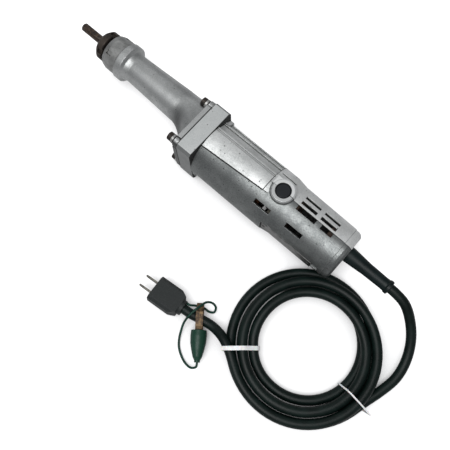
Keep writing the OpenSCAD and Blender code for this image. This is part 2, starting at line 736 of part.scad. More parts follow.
// A split spring washer and a plain collar under each head
module screw_washers() {
    split = 1;
    bore = screw_d / 2 + 0.3;
    color("#8d9092") screw_places() translate([nose_x + lip_t, 0, axis_h]) rotate([0, 90, 0]) {
        difference() {
            ring(head_screw_r + 0.2, bore, washer_t);
            rotate(50) translate([0, -split / 2, -cut]) cube([head_screw_r + cut, split, washer_t + 2 * cut]);
        }
        translate([0, 0, washer_t]) ring(head_screw_r + 0.3, bore, collar_t);
    }
}

// ---- Armature ----

module armature_shaft() {
    drive_r = drive_bearing[0] / 2;
    tail_r = tail_bearing[0] / 2;
    pinion_r = pinion_bore_r() - fit;
    color("#9a9a98") {
        on_motor(tail_bearing_x - 1) cylinder(r = tail_r, h = tail_bearing[2] + 1);
        on_motor(tail_bearing_x + tail_bearing[2])
            cylinder(r = shaft_r, h = drive_bearing_x - 0.5 - tail_bearing_x - tail_bearing[2]);
        on_motor(drive_bearing_x - 0.5) cylinder(r = drive_r, h = nose_x + 1.2 - drive_bearing_x);
        on_motor(nose_x + 0.7) cylinder(r = pinion_r, h = gear_x + gear_w + 0.5 - nose_x - 0.7);
    }
}

function pinion_bore_r() = gear_module * (pinion_teeth / 2 - 1.25) * 0.72;

module pinion() {
    color("#85817a") on_motor(gear_x) difference() {
        linear_extrude(gear_w) rotate(-90) spur_outline(pinion_teeth, 1, 0.06);
        translate([0, 0, -cut]) cylinder(r = pinion_bore_r(), h = gear_w + 2 * cut);
    }
}

module motor_front_bearing() {
    color("#b9bcbe") on_motor(drive_bearing_x) ball_bearing(drive_bearing);
}

module motor_rear_bearing() {
    color("#b9bcbe") on_motor(tail_bearing_x) ball_bearing(tail_bearing);
}

module fan() {
    disc_t = 1.6;
    hub_r = shaft_r + 4;
    color("#2f3133") on_motor(fan_x - fan_w) difference() {
        union() {
            cylinder(r = hub_r, h = fan_w);
            translate([0, 0, fan_w - disc_t]) cylinder(r = fan_r, h = disc_t);
            for (i = [0:fan_blades - 1]) rotate(i * 360 / fan_blades)
                translate([hub_r - 1, -0.8, 1.5]) cube([fan_r - hub_r, 1.6, fan_w - 2]);
        }
        translate([0, 0, -cut]) cylinder(r = shaft_r + fit, h = fan_w + 2 * cut);
    }
}

module armature_core() {
    slot_w = 3.2;
    slot_d = 8;
    color("#5b5f62") on_motor(core_x1) linear_extrude(core_l) difference() {
        circle(d = armature_d);
        circle(r = shaft_r + fit);
        for (i = [0:armature_slots - 1]) rotate(i * 360 / armature_slots) {
            translate([armature_d / 2 - slot_d - 1.6, -slot_w / 2]) square([slot_d, slot_w]);
            translate([armature_d / 2 - 2, -0.8]) square([3, 1.6]);
        }
    }
}

module armature_windings() {
    bar_w = 2.8;
    bar_d = 7.4;
    bar_r = armature_d / 2 - 8 - 1.3;
    end_l = coil_over;
    color("#8a4b24") {
        for (i = [0:armature_slots - 1]) rotate_about_motor(i * 360 / armature_slots)
            translate([core_x1 - 1, -bar_w / 2, axis_h + bar_r]) cube([core_l + 2, bar_w, bar_d]);
        on_motor(core_x0 + 0.3) ring(bar_r + bar_d - 0.2, shaft_r + 1, end_l);
        on_motor(core_x1 - 0.3 - end_l) ring(bar_r + bar_d - 0.2, shaft_r + 1, end_l);
    }
}

// Turns its children about the motor axis; 0 is straight up, positive towards +Y
module rotate_about_motor(a) {
    translate([0, 0, axis_h]) rotate([-a, 0, 0]) translate([0, 0, -axis_h]) children();
}

module commutator() {
    groove = 0.7;
    color("#b06a3a") on_motor(commutator_x - commutator_l) difference() {
        union() {
            cylinder(r = commutator_r, h = commutator_l);
            translate([0, 0, commutator_l - 3]) cylinder(r = commutator_r + 1, h = 3);
        }
        translate([0, 0, -cut]) cylinder(r = shaft_r + fit, h = commutator_l + 2 * cut);
        for (i = [0:commutator_bars - 1]) rotate((i + 0.5) * 360 / commutator_bars)
            translate([commutator_r - 1.2, -groove / 2, -cut]) cube([4, groove, commutator_l + 2 * cut]);
    }
}

// ---- Field and brush gear ----

// A sector of a ring, centred on +Y for turn 0
module sector(r_out, r_in, half_angle) {
    intersection() {
        difference() {
            circle(r = r_out);
            circle(r = r_in);
        }
        polygon([[0, 0], 2 * r_out * [-sin(half_angle), cos(half_angle)], [0, 2.4 * r_out],
            2 * r_out * [sin(half_angle), cos(half_angle)]]);
    }
}

module field_core() {
    color("#6a6d70") on_motor(core_x1) linear_extrude(core_l) difference() {
        circle(r = field_r);
        circle(r = field_bore_r);
        for (a = [90, 270]) rotate(a) sector(window_r1, window_r0, window_half);
        for (a = [90, 270]) rotate(a) sector(window_r0 + 0.5, field_bore_r - 0.5, 9);
    }
}

module field_coils() {
    side_half = (window_half - 3) / 2;
    bar_turn = 90 - window_half / 2 - 0.5;
    r1 = window_r1 - 0.4;
    r0 = window_r0 + 0.4;
    color("#7a3d1c") for (side = [0, 180]) rotate_about_motor(side) {
        for (a = [-bar_turn, bar_turn]) on_motor(core_x1 - 1) linear_extrude(core_l + 2) rotate(a)
            sector(r1, r0, side_half);
        for (x = [core_x0 + 0.4, core_x1 - 0.4 - coil_over]) on_motor(x) linear_extrude(coil_over)
            sector(r1 - 0.3, r0 + 0.3, 86);
    }
}

module brush_bracket() {
    plate_x = tail_bearing_x - 2;
    arm_half = brush_w / 2 + holder_wall + 3;
    arm_x1 = brush_x + brush_t / 2 + holder_wall + 2;
    color("#3a2a1e") difference() {
        union() {
            on_motor(plate_x) cylinder(r = bracket_r, h = bracket_t);
            for (side = [-1, 1]) intersection() {
                translate([plate_x + 1, side > 0 ? 19 : -28.5, axis_h - arm_half])
                    cube([arm_x1 - plate_x - 1, 9.5, 2 * arm_half]);
                on_motor(plate_x) cylinder(r = bracket_r, h = 60);
            }
        }
        on_motor(tail_bearing_x) cylinder(d = tail_bearing[1] + 2 * fit, h = bracket_t);
        on_motor(plate_x - cut) cylinder(r = tail_bearing[0] / 2 + 2.5, h = bracket_t);
        for (a = [45, 135, 225, 315]) on_motor(plate_x - cut) linear_extrude(bracket_t + 2 * cut) rotate(a)
            sector(25, 15, 34);
        translate([brush_x - brush_t / 2 - holder_wall - fit, -40, axis_h - brush_w / 2 - holder_wall - fit])
            cube([brush_t + 2 * (holder_wall + fit), 80, brush_w + 2 * (holder_wall + fit)]);
    }
}

module brush_holders() {
    color("#b08d4a") for (side = [0, 180]) rotate([0, 0, side]) mirror_x(side) difference() {
        translate([brush_x - brush_t / 2 - holder_wall, holder_y0, axis_h - brush_w / 2 - holder_wall])
            cube([brush_t + 2 * holder_wall, holder_y1 - holder_y0, brush_w + 2 * holder_wall]);
        translate([brush_x - brush_t / 2 - 0.1, holder_y0 - cut, axis_h - brush_w / 2 - 0.1])
            cube([brush_t + 0.2, holder_y1 - holder_y0, brush_w + 0.2]);
    }
}

// Undoes the turn's effect on X, so that a piece turned half round about Z stays at its station
module mirror_x(side) {
    mirror([side > 0 ? 1 : 0, 0, 0]) children();
}

module carbon_brushes() {
    brush_l = 11;
    color("#1d1d1f") for (side = [0, 180]) rotate([0, 0, side]) mirror_x(side) difference() {
        translate([brush_x - brush_t / 2, 0, axis_h - brush_w / 2])
            cube([brush_t, commutator_r + brush_l, brush_w]);
        on_motor(brush_x - brush_t) cylinder(r = commutator_r + 2 * running, h = 2 * brush_t);
    }
}

module brush_springs() {
    spring_r = 2.4;
    y0 = commutator_r + 11;
    color("#a7a294") for (side = [0, 180]) rotate([0, 0, side]) mirror_x(side)
        translate([brush_x, y0, axis_h]) rotate([-90, 0, 0]) ring(spring_r, spring_r - 0.8, holder_y1 - 1 - y0);
}

// ---- Casing ----

module casing_outer() {
    on_motor() rotate_extrude() polygon([[0, front_x], [body_r, front_x], [body_r, step_x0],
        [rear_r, step_x1], [rear_end_r, band_x], [rear_end_r - band_step, band_x],
        [rear_end_r - band_step, rear_x + 5.5], [rear_end_r - 1.8, rear_x + 2.4], [end_r, rear_x], [0, rear_x]]);
    // Switch ring
    ring_foot = 12;
    translate([switch_cx, part_y, ring_top - ring_foot]) {
        cylinder(r = ring_r, h = ring_foot - ring_chamfer);
        translate([0, 0, ring_foot - ring_chamfer])
            cylinder(r1 = ring_r, r2 = ring_r - ring_chamfer, h = ring_chamfer);
    }
    // Pad of the rear cover in front of the ring, bevelled along its front edge
    translate([0, part_y, 0]) rotate([90, 0, 0]) linear_extrude(pad_w) polygon([[switch_cx, pad_top - 8],
        [cover_front_x, pad_top - 8], [cover_front_x, axis_h + body_r - 0.4],
        [cover_front_x - pad_bevel, pad_top], [switch_cx, pad_top]]);
}

// Feet of the casing against the back of the gear plate: one on the flank, two at the floor
module casing_foot() {
    on_motor(front_x - foot_t) linear_extrude(foot_t) difference() {
        flange_outline(0.3, foot_chamfer);
        square([2 * plate_w, 2 * foot_inner_y], center = true);
        translate([-plate_w, 0]) square([plate_w + 6, plate_w]);
    }
}

module casing_cavity() {
    difference() {
        on_motor() rotate_extrude() polygon([[0, front_x + cut], [body_r - wall, front_x + cut],
            [body_r - wall, step_x0], [rear_r - wall, step_x1], [rear_end_r - wall, band_x],
            [rear_end_r - wall - band_step, rear_x + 7], [end_r - wall, rear_x + rear_wall],
            [0, rear_x + rear_wall]]);
        // Bosses for the plate's screws
        plate_screw_places() translate([front_x - plate_boss_l, 0, axis_h]) rotate([0, 90, 0])
            cylinder(r = plate_boss_r, h = plate_boss_l);
    }
}

// A slot cut down into the wall of the casing, straight above the motor axis
module wall_slot(start, l, w, floor_r) {
    translate([front_x - start - l, -w / 2, axis_h + floor_r]) cube([l, w, vent_depth]);
}

// Vents, screw holes and the openings for the switch and the guard, cut from all casing parts
module casing_cuts() {
    slot_r = rear_r - wall - 4;
    // Long slots in the shoulder of the left shell
    for (p = shoulder_slots) rotate_about_motor(shoulder_turn) wall_slot(p[0], p[1], p[2], slot_r);
    // Two rows of vents in the rear cover
    for (turn = vent_turns, start = vent_starts) rotate_about_motor(-turn)
        wall_slot(start, vent_l, vent_w, slot_r);
    // Notches of the left shell, open at the parting plane
    for (p = notches) translate([0, part_y - 0.1 + notch_w / 2, 0]) wall_slot(p[0], p[1], notch_w, slot_r - 2);
    // Narrow slot beside the switch
    rotate_about_motor(-side_slot_turn) wall_slot(side_slot[0], side_slot[1], side_slot[2], slot_r);
    // Air outlets on the underside, beside the fan
    for (turn = [150, 180, 210]) rotate_about_motor(turn)
        translate([fan_x - fan_w - 2, -6, axis_h + body_r - wall - 2]) cube([5, 12, vent_depth]);
    // Switch well
    translate([switch_cx, part_y, axis_h]) cylinder(r = ring_bore_r + 0.05, h = 60);
    // Guard seat
    translate([rear_x - cut, guard_y, guard_z]) rotate([0, 90, 0])
        cylinder(r = guard_seat_r + 0.05, h = rear_wall + 2 * cut);
    // Threads of the plate's screws
    plate_screw_places() translate([front_x - plate_screw_reach - 0.2, 0, axis_h]) rotate([0, 90, 0])
        cylinder(r = plate_screw_r + fit, h = plate_screw_reach + 0.2 + cut);
}

// The left shell reaches to the slanted joint beside the top strip and, further back, to
// the parting plane; gap shifts its edge inwards
module left_region(gap) {
    ring_front = switch_cx + ring_r;
    translate([0, 0, -cut]) linear_extrude(plate_w + 30) polygon([[front_x + cut, strip_y0 + gap],
        [ring_front - 3, strip_y1 + gap], [ring_front - 3, part_y + gap], [rear_x - cut, part_y + gap],
        [rear_x - cut, plate_w], [front_x + cut, plate_w]]);
    // With it goes the ring's half on that side
    translate([0, 0, axis_h]) linear_extrude(plate_w) intersection() {
        translate([switch_cx, part_y]) circle(r = ring_r - gap);
        translate([switch_cx - 2 * ring_r, part_y + gap]) square([4 * ring_r, 2 * ring_r]);
    }
}

// Bosses for the casing screws, across the parting plane
module casing_bosses(side) {
    boss_r = 4.2;
    intersection() {
        for (p = casing_screw_places) translate([p[0], part_y, axis_h + p[1]]) rotate([-90 * side, 0, 0])
            cylinder(r = boss_r, h = body_r);
        casing_outer();
    }
}

module left_shell() {
    color("#a6abae") difference() {
        union() {
            difference() {
                intersection() {
                    union() {
                        casing_outer();
                        casing_foot();
                    }
                    left_region(0);
                }
                difference() {
                    casing_cavity();
                    // The wall stays thick enough behind the nameplate
                    translate([flat_x0 - flat_l - 2, plate_face_y - plate_wall, axis_h - flat_h / 2 - 2])
                        cube([flat_l + 4, 10, flat_h + 4]);
                }
            }
            casing_bosses(1);
            // Post that the cord clamp is screwed to
            intersection() {
                translate([clamp_x - 0.5, part_y + cord_r + 3, guard_z - 13]) cube([clamp_l + 1, body_r, 26]);
                casing_outer();
            }
        }
        casing_cuts();
        for (p = casing_screw_places) translate([p[0], part_y - cut, axis_h + p[1]]) rotate([-90, 0, 0])
            cylinder(r = casing_screw_r + fit, h = 14 + cut);
        for (z = clamp_screw_z) translate([clamp_x + clamp_l / 2, part_y, z]) rotate([-90, 0, 0])
            cylinder(r = casing_screw_r + fit, h = cord_r + 12);
        // Flat for the nameplate, and the pocket behind its rear end
        translate([flat_x0 - flat_l, plate_face_y, axis_h - flat_h / 2]) cube([flat_l, 10, flat_h]);
        translate([pocket_x, plate_face_y - 1.6, axis_h + 1]) cube([pocket[0], 10, pocket[1]]);
        for (x = rivet_x) translate([x, plate_face_y - plate_wall - cut, axis_h]) rotate([-90, 0, 0])
            cylinder(r = rivet_r + fit, h = 6);
    }
}

module motor_housing() {
    color("#adb1b4") difference() {
        intersection() {
            union() {
                difference() {
                    casing_outer();
                    // Long grooves of the flank
                    for (g = flank_grooves) rotate_about_motor(-g[0])
                        translate([cover_front_x - cut, -g[1] / 2, axis_h + flank_floor(g)])
                        cube([cover_x + 2 * cut, g[1], 9]);
                }
                casing_foot();
            }
            difference() {
                union() {
                    translate([cover_front_x + seam / 2, -plate_w, -cut])
                        cube([cover_x - seam / 2 + cut, 2 * plate_w, plate_w + 30]);
                    // Tongue of the top strip, up to the switch ring
                    translate([switch_cx, part_y, axis_h])
                        cube([cover_front_x - switch_cx + cut, 30, plate_w]);
                }
                left_region(-seam);
                translate([switch_cx, part_y, axis_h]) cylinder(r = ring_r + seam, h = 60);
            }
        }
        casing_cavity();
        casing_cuts();
    }
}

// Height of a groove's floor over the motor axis: its depth is measured at its edges
function flank_floor(g) = sqrt(pow(body_r, 2) - pow(g[1] / 2, 2)) - g[2] + 0.25;

module rear_cover() {
    color("#9ea2a5") difference() {
        union() {
            difference() {
                intersection() {
                    casing_outer();
                    translate([rear_x - cut, -plate_w, -cut])
                        cube([cover_front_x - seam / 2 - rear_x + cut, plate_w + part_y - seam, plate_w + 30]);
                }
                casing_cavity();
            }
            translate([0, -seam, 0]) casing_bosses(-1);
        }
        casing_cuts();
        for (p = casing_screw_places) translate([p[0], part_y + cut, axis_h + p[1]]) rotate([90, 0, 0]) {
            cylinder(r = casing_screw_r + 0.3, h = body_r + cut);
            translate([0, 0, part_y + cut + casing_head_y]) cylinder(r = casing_head_r + 0.6, h = body_r);
        }
    }
}

module casing_screws() {
    color("#7d8083") for (p = casing_screw_places) translate([p[0], 0, axis_h + p[1]]) rotate([90, 0, 0])
        difference() {
            union() {
                translate([0, 0, -12 - part_y + cut])
                    cylinder(r = casing_screw_r, h = casing_head_y + 12 + part_y - cut);
                translate([0, 0, casing_head_y]) cylinder(r = casing_head_r, h = 2.4);
            }
            translate([-0.5, -4, casing_head_y + 1.2]) cube([1, 8, 3]);
        }
}

module nameplate() {
    color("#7b7f82") difference() {
        translate([flat_x0 - nameplate_l - 0.5, plate_face_y + fit, axis_h - nameplate_h / 2])
            cube([nameplate_l, nameplate_t, nameplate_h]);
        for (x = rivet_x) translate([x, plate_face_y - cut, axis_h]) rotate([-90, 0, 0])
            cylinder(r = rivet_r + fit, h = nameplate_t + 2 * cut);
    }
}

module nameplate_rivets() {
    color("#9a9c9d") for (x = rivet_x) translate([x, 0, axis_h]) rotate([-90, 0, 0]) {
        translate([0, 0, plate_face_y - plate_wall]) cylinder(r = rivet_r, h = nameplate_t + plate_wall + 3 * fit);
        translate([0, 0, plate_face_y + nameplate_t + 2 * fit]) cylinder(r1 = 1.9, r2 = 1.3, h = 0.7);
    }
}

// ---- Switch ----

module switch_body() {
    color("#26282a") translate([switch_cx, part_y, 0]) difference() {
        union() {
            translate([-switch_box_l / 2, -switch_box_w / 2, switch_floor])
                cube([switch_box_l, switch_box_w, switch_deck - switch_floor]);
            translate([0, 0, switch_deck - 1]) cylinder(r = ring_bore_r, h = ring_top - 1.6 - switch_deck + 1);
        }
        translate([0, 0, switch_floor + 2.5]) cylinder(r = neck_r, h = 40);
    }
}

module switch_button() {
    top = ring_top - 0.9;
    color("#1c1e20") translate([switch_cx, part_y, 0]) {
        translate([0, 0, top - 8]) cylinder(d = button_d, h = 7.4);
        translate([0, 0, top - 0.6]) cylinder(d1 = button_d, d2 = button_d - 1.2, h = 0.6);
        translate([0, 0, switch_floor + 2.5 + button_travel + 1.5])
            cylinder(r = 2.6, h = top - 8 - switch_floor - button_travel - 3.5);
    }
}

module switch_spring() {
    color("#b0b0ac") translate([switch_cx, part_y, switch_floor + 2.5])
        ring(4.6, 3.4, ring_top - 0.9 - 8 - switch_floor - 2.5);
}

// ---- Cord, clamp and guard ----

module cord_clamp() {
    color("#4c3c2e") difference() {
        translate([clamp_x, part_y - cord_r - 4, guard_z - 12.5]) cube([clamp_l, 2 * cord_r + 7 - fit, 25]);
        translate([clamp_x - cut, guard_y, guard_z]) rotate([0, 90, 0])
            cylinder(r = cord_r + fit, h = clamp_l + 2 * cut);
        for (z = clamp_screw_z) translate([clamp_x + clamp_l / 2, part_y - 20, z]) rotate([-90, 0, 0]) cylinder(r = 1.7, h = 40);
    }
}

module clamp_screws() {
    color("#8c8f92") for (z = clamp_screw_z) translate([clamp_x + clamp_l / 2, part_y - cord_r - 4 - fit, z])
        rotate([90, 0, 0]) {
            cylinder(r = 2.8, h = 2);
            translate([0, 0, -2 * cord_r - 15]) cylinder(r = 1.5, h = 2 * cord_r + 15.5);
        }
}

module inner_leads() {
    color("#30343a") for (dy = [-1, 1]) tube_along([for (p = lead_route) p + [0, dy, 0]], 0.8, 6);
}

module cord_guard() {
    flange_t = 3;
    color("#25292b") translate([rear_x, guard_y, guard_z]) rotate([0, -90, 0]) rotate_extrude()
        polygon([[cord_r + fit, -rear_wall - flange_t], [guard_seat_r + 2.6, -rear_wall - flange_t],
            [guard_seat_r + 2.6, -rear_wall - 0.05], [guard_seat_r, -rear_wall - 0.05], [guard_seat_r, 0.1],
            [guard_root_r, 0.1], [guard_root_r, 2], [guard_neck_r, guard_l * 0.45],
            [guard_tip_r, guard_l * 0.84], [guard_tip_r + 0.2, guard_l - 5], [guard_lip_r, guard_l - 3.4],
            [guard_lip_r, guard_l - 0.8], [guard_lip_r - 0.8, guard_l], [cord_r + fit, guard_l]]);
}

module cord_tool_run() {
    color("#1f2624") tube_along(tool_route, cord_r, 12);
}

module cord_coil() {
    color("#1f2624") tube_along(coil_path, cord_r, 6);
}

module cord_plug_run() {
    color("#1f2624") tube_along(plug_route, cord_r, 12);
}

// A band w wide, drawn tight round the coil at one angle; slack is left past its outer turn
module band(turn, w, slack) {
    reach = coil_reach(turn);
    r0 = min(reach) - cord_r - tie_t - tie_play - 0.5;
    r1 = max(reach) + cord_r + tie_t + tie_play + slack;
    top = coil_high + cord_r + tie_play + tie_t;
    translate([coil_x, coil_y, 0]) rotate(turn) translate([r0, -w / 2, 0]) difference() {
        cube([r1 - r0, w, top]);
        translate([tie_t, -cut, tie_t]) cube([r1 - r0 - 2 * tie_t, w + 2 * cut, top - 2 * tie_t]);
    }
}

module wide_tie() {
    color("#e6e6e2") band(wide_tie_turn, 4.6, 4.5);
}

module thin_tie() {
    color("#ececea") band(thin_tie_turn, 1.6, 5.2);
}

// ---- Plug ----

// Places a shape whose front face is x = 0 and whose length runs along -X
module at_plug() {
    translate([plug_x, plug_y, plug_z]) rotate([0, 0, plug_turn]) rotate([plug_roll, 0, 0]) children();
}

module plug_body() {
    bevel = 3.2;
    half_w = plug_w / 2;
    half_t = plug_t / 2;
    groove_t = 0.8;
    color("#2a3030") at_plug() difference() {
        union() {
            translate([-plug_l, 0, 0]) rotate([90, 0, 90]) linear_extrude(plug_l) polygon([
                [-half_w, -half_t + bevel], [-half_w + bevel, -half_t], [half_w - bevel, -half_t],
                [half_w, -half_t + bevel], [half_w, half_t - bevel], [half_w - bevel, half_t],
                [-half_w + bevel, half_t], [-half_w, half_t - bevel]]);
            translate([-plug_l - plug_neck_l, 0, 0]) rotate([0, 90, 0]) cylinder(r = plug_neck_r, h = plug_neck_l + 1);
        }
        // The rear corners are drawn in towards the cord
        for (side = [-1, 1]) translate([-plug_l + 7.5, side * half_w, -plug_t]) rotate([0, 0, side * 30])
            translate([-20, side > 0 ? 0 : -14, 0]) cube([20, 14, 2 * plug_t]);
        // Finger grooves along both edges
        for (side = [-1, 1], z = [-2.6, 0.4, 3.4]) translate([-plug_l + 8, side * half_w - groove_t, z])
            cube([plug_l - 11, 2 * groove_t, 0.9]);
        for (side = [-1, 1]) translate([-blade_root, side * blade_pitch / 2 - blade_t / 2 - fit, -blade_w / 2 - fit])
            cube([blade_root + cut, blade_t + 2 * fit, blade_w + 2 * fit]);
    }
}

module plug_blades() {
    hole_r = 1.5;
    color("#b9a878") at_plug() for (side = [-1, 1]) translate([0, side * blade_pitch / 2 - blade_t / 2, 0])
        difference() {
            union() {
                translate([-blade_root + fit, 0, -blade_w / 2]) cube([blade_root + blade_out - 1.5, blade_t, blade_w]);
                translate([blade_out - 1.6, 0, -blade_w / 2 + 1]) cube([1.6, blade_t, blade_w - 2]);
            }
            translate([blade_out - 4, -cut, 0]) rotate([-90, 0, 0]) cylinder(r = hole_r, h = blade_t + 2 * cut);
        }
}

// ---- Earth lead and clip ----

module earth_lead() {
    color("#1f4a38") tube_along(earth_route, earth_r, 8);
}

// Places a shape drawn with the jaw pin at the origin and the jaws towards +X
module at_clip() {
    translate([clip_x, clip_y, clip_z]) rotate([0, 0, clip_turn]) children();
}

// A bent strip whose middle line is a list of [along, up] points
module bent_strip(line, w) {
    rotate([90, 0, 0]) translate([0, 0, -w / 2]) linear_extrude(w)
        polygon(concat(line, [for (i = [len(line) - 1:-1:0]) line[i] + [0, clip_strip]]));
}

module clip_ears(y, t, up) {
    for (side = [-1, 1]) translate([0, side * y - t / 2, 0]) difference() {
        union() {
            translate([-3, 0, up > 0 ? 0 : -4.2]) cube([4.6, t, 4.2]);
            rotate([-90, 0, 0]) cylinder(r = 2.3, h = t);
        }
        translate([0, -cut, 0]) rotate([-90, 0, 0]) cylinder(r = clip_pin_r + running, h = t + 2 * cut);
    }
}

module clip_lower_jaw() {
    color("#7c6434") at_clip() {
        mirror([0, 0, 1]) bent_strip(clip_line, clip_w);
        clip_ears(3.6, 0.8, -1);
    }
}

module clip_upper_jaw() {
    color("#86693a") at_clip() {
        bent_strip(clip_line, clip_w);
        clip_ears(2.3, 0.8, 1);
    }
}

module clip_pin() {
    color("#8a8272") at_clip() rotate([-90, 0, 0]) {
        translate([0, 0, -4.3]) cylinder(r = clip_pin_r, h = 8.6);
    }
}

module clip_spring() {
    color("#8a8a86") at_clip() translate([0, -1.5, 0]) rotate([-90, 0, 0]) ring(2.3, clip_pin_r + 0.1, 3);
}

module clip_boot() {
    inner = boot_r - boot_wall;
    color("#245040") at_clip() rotate([0, -90, 0]) rotate_extrude() polygon([
        [inner, boot_mouth], [boot_r, boot_mouth], [boot_r + 0.4, boot_mouth + 6], [boot_r, 15],
        [boot_r - 1.4, 22], [boot_r - 3.4, boot_tail - 6], [boot_tail_r, boot_tail - 2], [boot_tail_r, boot_tail],
        [0, boot_tail], [0, boot_tail - 2], [boot_tail_r - boot_wall, boot_tail - 3.5], [inner - 3, boot_tail - 8],
        [inner - 1.2, 21], [inner, 14]]);
}

mandrel_shank();
collet();
collet_nut();
spindle();
spindle_gear();
gear_spacer();
nose_cap();
dust_seal();
front_bearing();
rear_spindle_bearing();
nose_housing();
gear_plate();
plate_screws();
flange_screws();
screw_washers();
armature_shaft();
pinion();
motor_front_bearing();
fan();
armature_core();
armature_windings();
commutator();
motor_rear_bearing();
field_core();
field_coils();
brush_bracket();
brush_holders();
carbon_brushes();
brush_springs();
left_shell();
motor_housing();
rear_cover();
casing_screws();
nameplate();
nameplate_rivets();
switch_body();
switch_button();
switch_spring();
cord_clamp();
clamp_screws();
inner_leads();
cord_guard();
cord_tool_run();
cord_coil();
cord_plug_run();
wide_tie();
thin_tie();
plug_body();
plug_blades();
earth_lead();
clip_lower_jaw();
clip_upper_jaw();
clip_pin();
clip_spring();
clip_boot();
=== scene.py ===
import bpy
import numpy as np
from mathutils import Matrix, Vector


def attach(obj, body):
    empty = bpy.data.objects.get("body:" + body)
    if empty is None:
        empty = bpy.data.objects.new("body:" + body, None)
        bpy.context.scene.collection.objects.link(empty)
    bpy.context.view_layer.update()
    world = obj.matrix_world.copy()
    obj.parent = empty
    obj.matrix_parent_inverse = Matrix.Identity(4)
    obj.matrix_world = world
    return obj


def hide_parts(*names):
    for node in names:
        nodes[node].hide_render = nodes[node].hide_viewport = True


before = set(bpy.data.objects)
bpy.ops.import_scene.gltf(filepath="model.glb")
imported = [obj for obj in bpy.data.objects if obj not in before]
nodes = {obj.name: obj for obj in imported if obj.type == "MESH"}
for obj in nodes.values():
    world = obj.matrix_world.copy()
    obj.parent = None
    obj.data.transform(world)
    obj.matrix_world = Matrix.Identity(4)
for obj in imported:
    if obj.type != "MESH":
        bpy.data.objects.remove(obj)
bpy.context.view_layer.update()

# ---------------------------------------------------------------------------
# Studio: the camera looks down on the tool from the coil's side, over a pale floor with
# a painted shadow near the tool, under one large soft lamp, one edge lamp and a pale sky.
# ---------------------------------------------------------------------------
scene = bpy.context.scene
scene.view_settings.view_transform = "Standard"

camera_place = (-0.19846, 0.17611, 0.65067)
focal_share = 580.3 / 450    # focal length over the width seen
sensor_w = 36.0

lens = bpy.data.cameras.new("camera")
lens.sensor_width = sensor_w
lens.lens = focal_share * sensor_w
lens.clip_start = 0.05
camera = bpy.data.objects.new("camera", lens)
right = Vector((-0.74819, -0.66333, -0.01412)).normalized()
back = Vector((-0.18215, 0.18489, 0.96573)).normalized()
up = back.cross(right).normalized()
right = up.cross(back)
camera.matrix_world = Matrix.Translation(camera_place) @ Matrix(
    (right, up, back)).transposed().to_4x4()
scene.collection.objects.link(camera)
scene.camera = camera

floor_half = 3.0
floor_z = -0.0004
floor_tone = (0.5, 0.5, 0.505, 1)
floor_glow = 0.86       # of its own light, where nothing stands near; nearer the tool it is dimmed as a painted shadow
mirrored_glow = 0.16    # share of that light which shiny parts mirror
shade_reach = 0.03

floor_mesh = bpy.data.meshes.new("floor")
floor_mesh.from_pydata([(-floor_half, -floor_half, floor_z), (floor_half, -floor_half, floor_z),
                        (floor_half, floor_half, floor_z), (-floor_half, floor_half, floor_z)],
                       [], [(0, 1, 2, 3)])
floor = bpy.data.objects.new("floor", floor_mesh)
scene.collection.objects.link(floor)
floor_paint = bpy.data.materials.new("floor")
floor_paint.use_nodes = True
tree = floor_paint.node_tree
tree.nodes.clear()
out = tree.nodes.new("ShaderNodeOutputMaterial")
seen = tree.nodes.new("ShaderNodeLightPath")
mirrored = tree.nodes.new("ShaderNodeMath")
mirrored.operation = "MULTIPLY"
mirrored.inputs[1].default_value = mirrored_glow
tree.links.new(seen.outputs["Is Glossy Ray"], mirrored.inputs[0])
either = tree.nodes.new("ShaderNodeMath")
either.operation = "MAXIMUM"
tree.links.new(seen.outputs["Is Camera Ray"], either.inputs[0])
tree.links.new(mirrored.outputs[0], either.inputs[1])
flat = tree.nodes.new("ShaderNodeBsdfDiffuse")
flat.inputs["Color"].default_value = floor_tone
glow = tree.nodes.new("ShaderNodeEmission")
glow.inputs["Color"].default_value = (1, 1, 1, 1)
share = tree.nodes.new("ShaderNodeMath")
share.operation = "MULTIPLY"
tree.links.new(either.outputs[0], share.inputs[0])
# Painted shadow: the floor's glow fades by ambient occlusion within shade_reach of the tool and
# cord.
hollow = tree.nodes.new("ShaderNodeAmbientOcclusion")
hollow.samples = 8
hollow.inputs["Distance"].default_value = shade_reach
under = tree.nodes.new("ShaderNodeMath")
under.operation = "MULTIPLY"
under.inputs[1].default_value = floor_glow
tree.links.new(hollow.outputs["AO"], under.inputs[0])
tree.links.new(under.outputs[0], share.inputs[1])
tree.links.new(share.outputs[0], glow.inputs["Strength"])
both = tree.nodes.new("ShaderNodeAddShader")
tree.links.new(flat.outputs[0], both.inputs[0])
tree.links.new(glow.outputs[0], both.inputs[1])
tree.links.new(both.outputs[0], out.inputs["Surface"])
floor_mesh.materials.append(floor_paint)


def area_lamp(name, place, aim, size, power):
    """A square soft lamp at a place, turned to face the point it aims at."""
    lamp = bpy.data.lights.new(name, "AREA")
    lamp.shape = "SQUARE"
    lamp.size = size
    lamp.energy = power
    item = bpy.data.objects.new(name, lamp)
    item.location = place
    item.rotation_euler = (Vector(aim) - Vector(place)).to_track_quat("-Z", "Y").to_euler()
    scene.collection.objects.link(item)


area_lamp("overhead_lamp", (-0.15, 0.55, 1.5), (-0.1, 0.03, 0.03), 1.0, 23.0)
area_lamp("side_lamp", (1.1, -0.9, 0.9), (0, 0, 0.04), 0.9, 2.4)

sky_tone = (0.95, 0.97, 1.0, 1)
sky_strength = 0.24

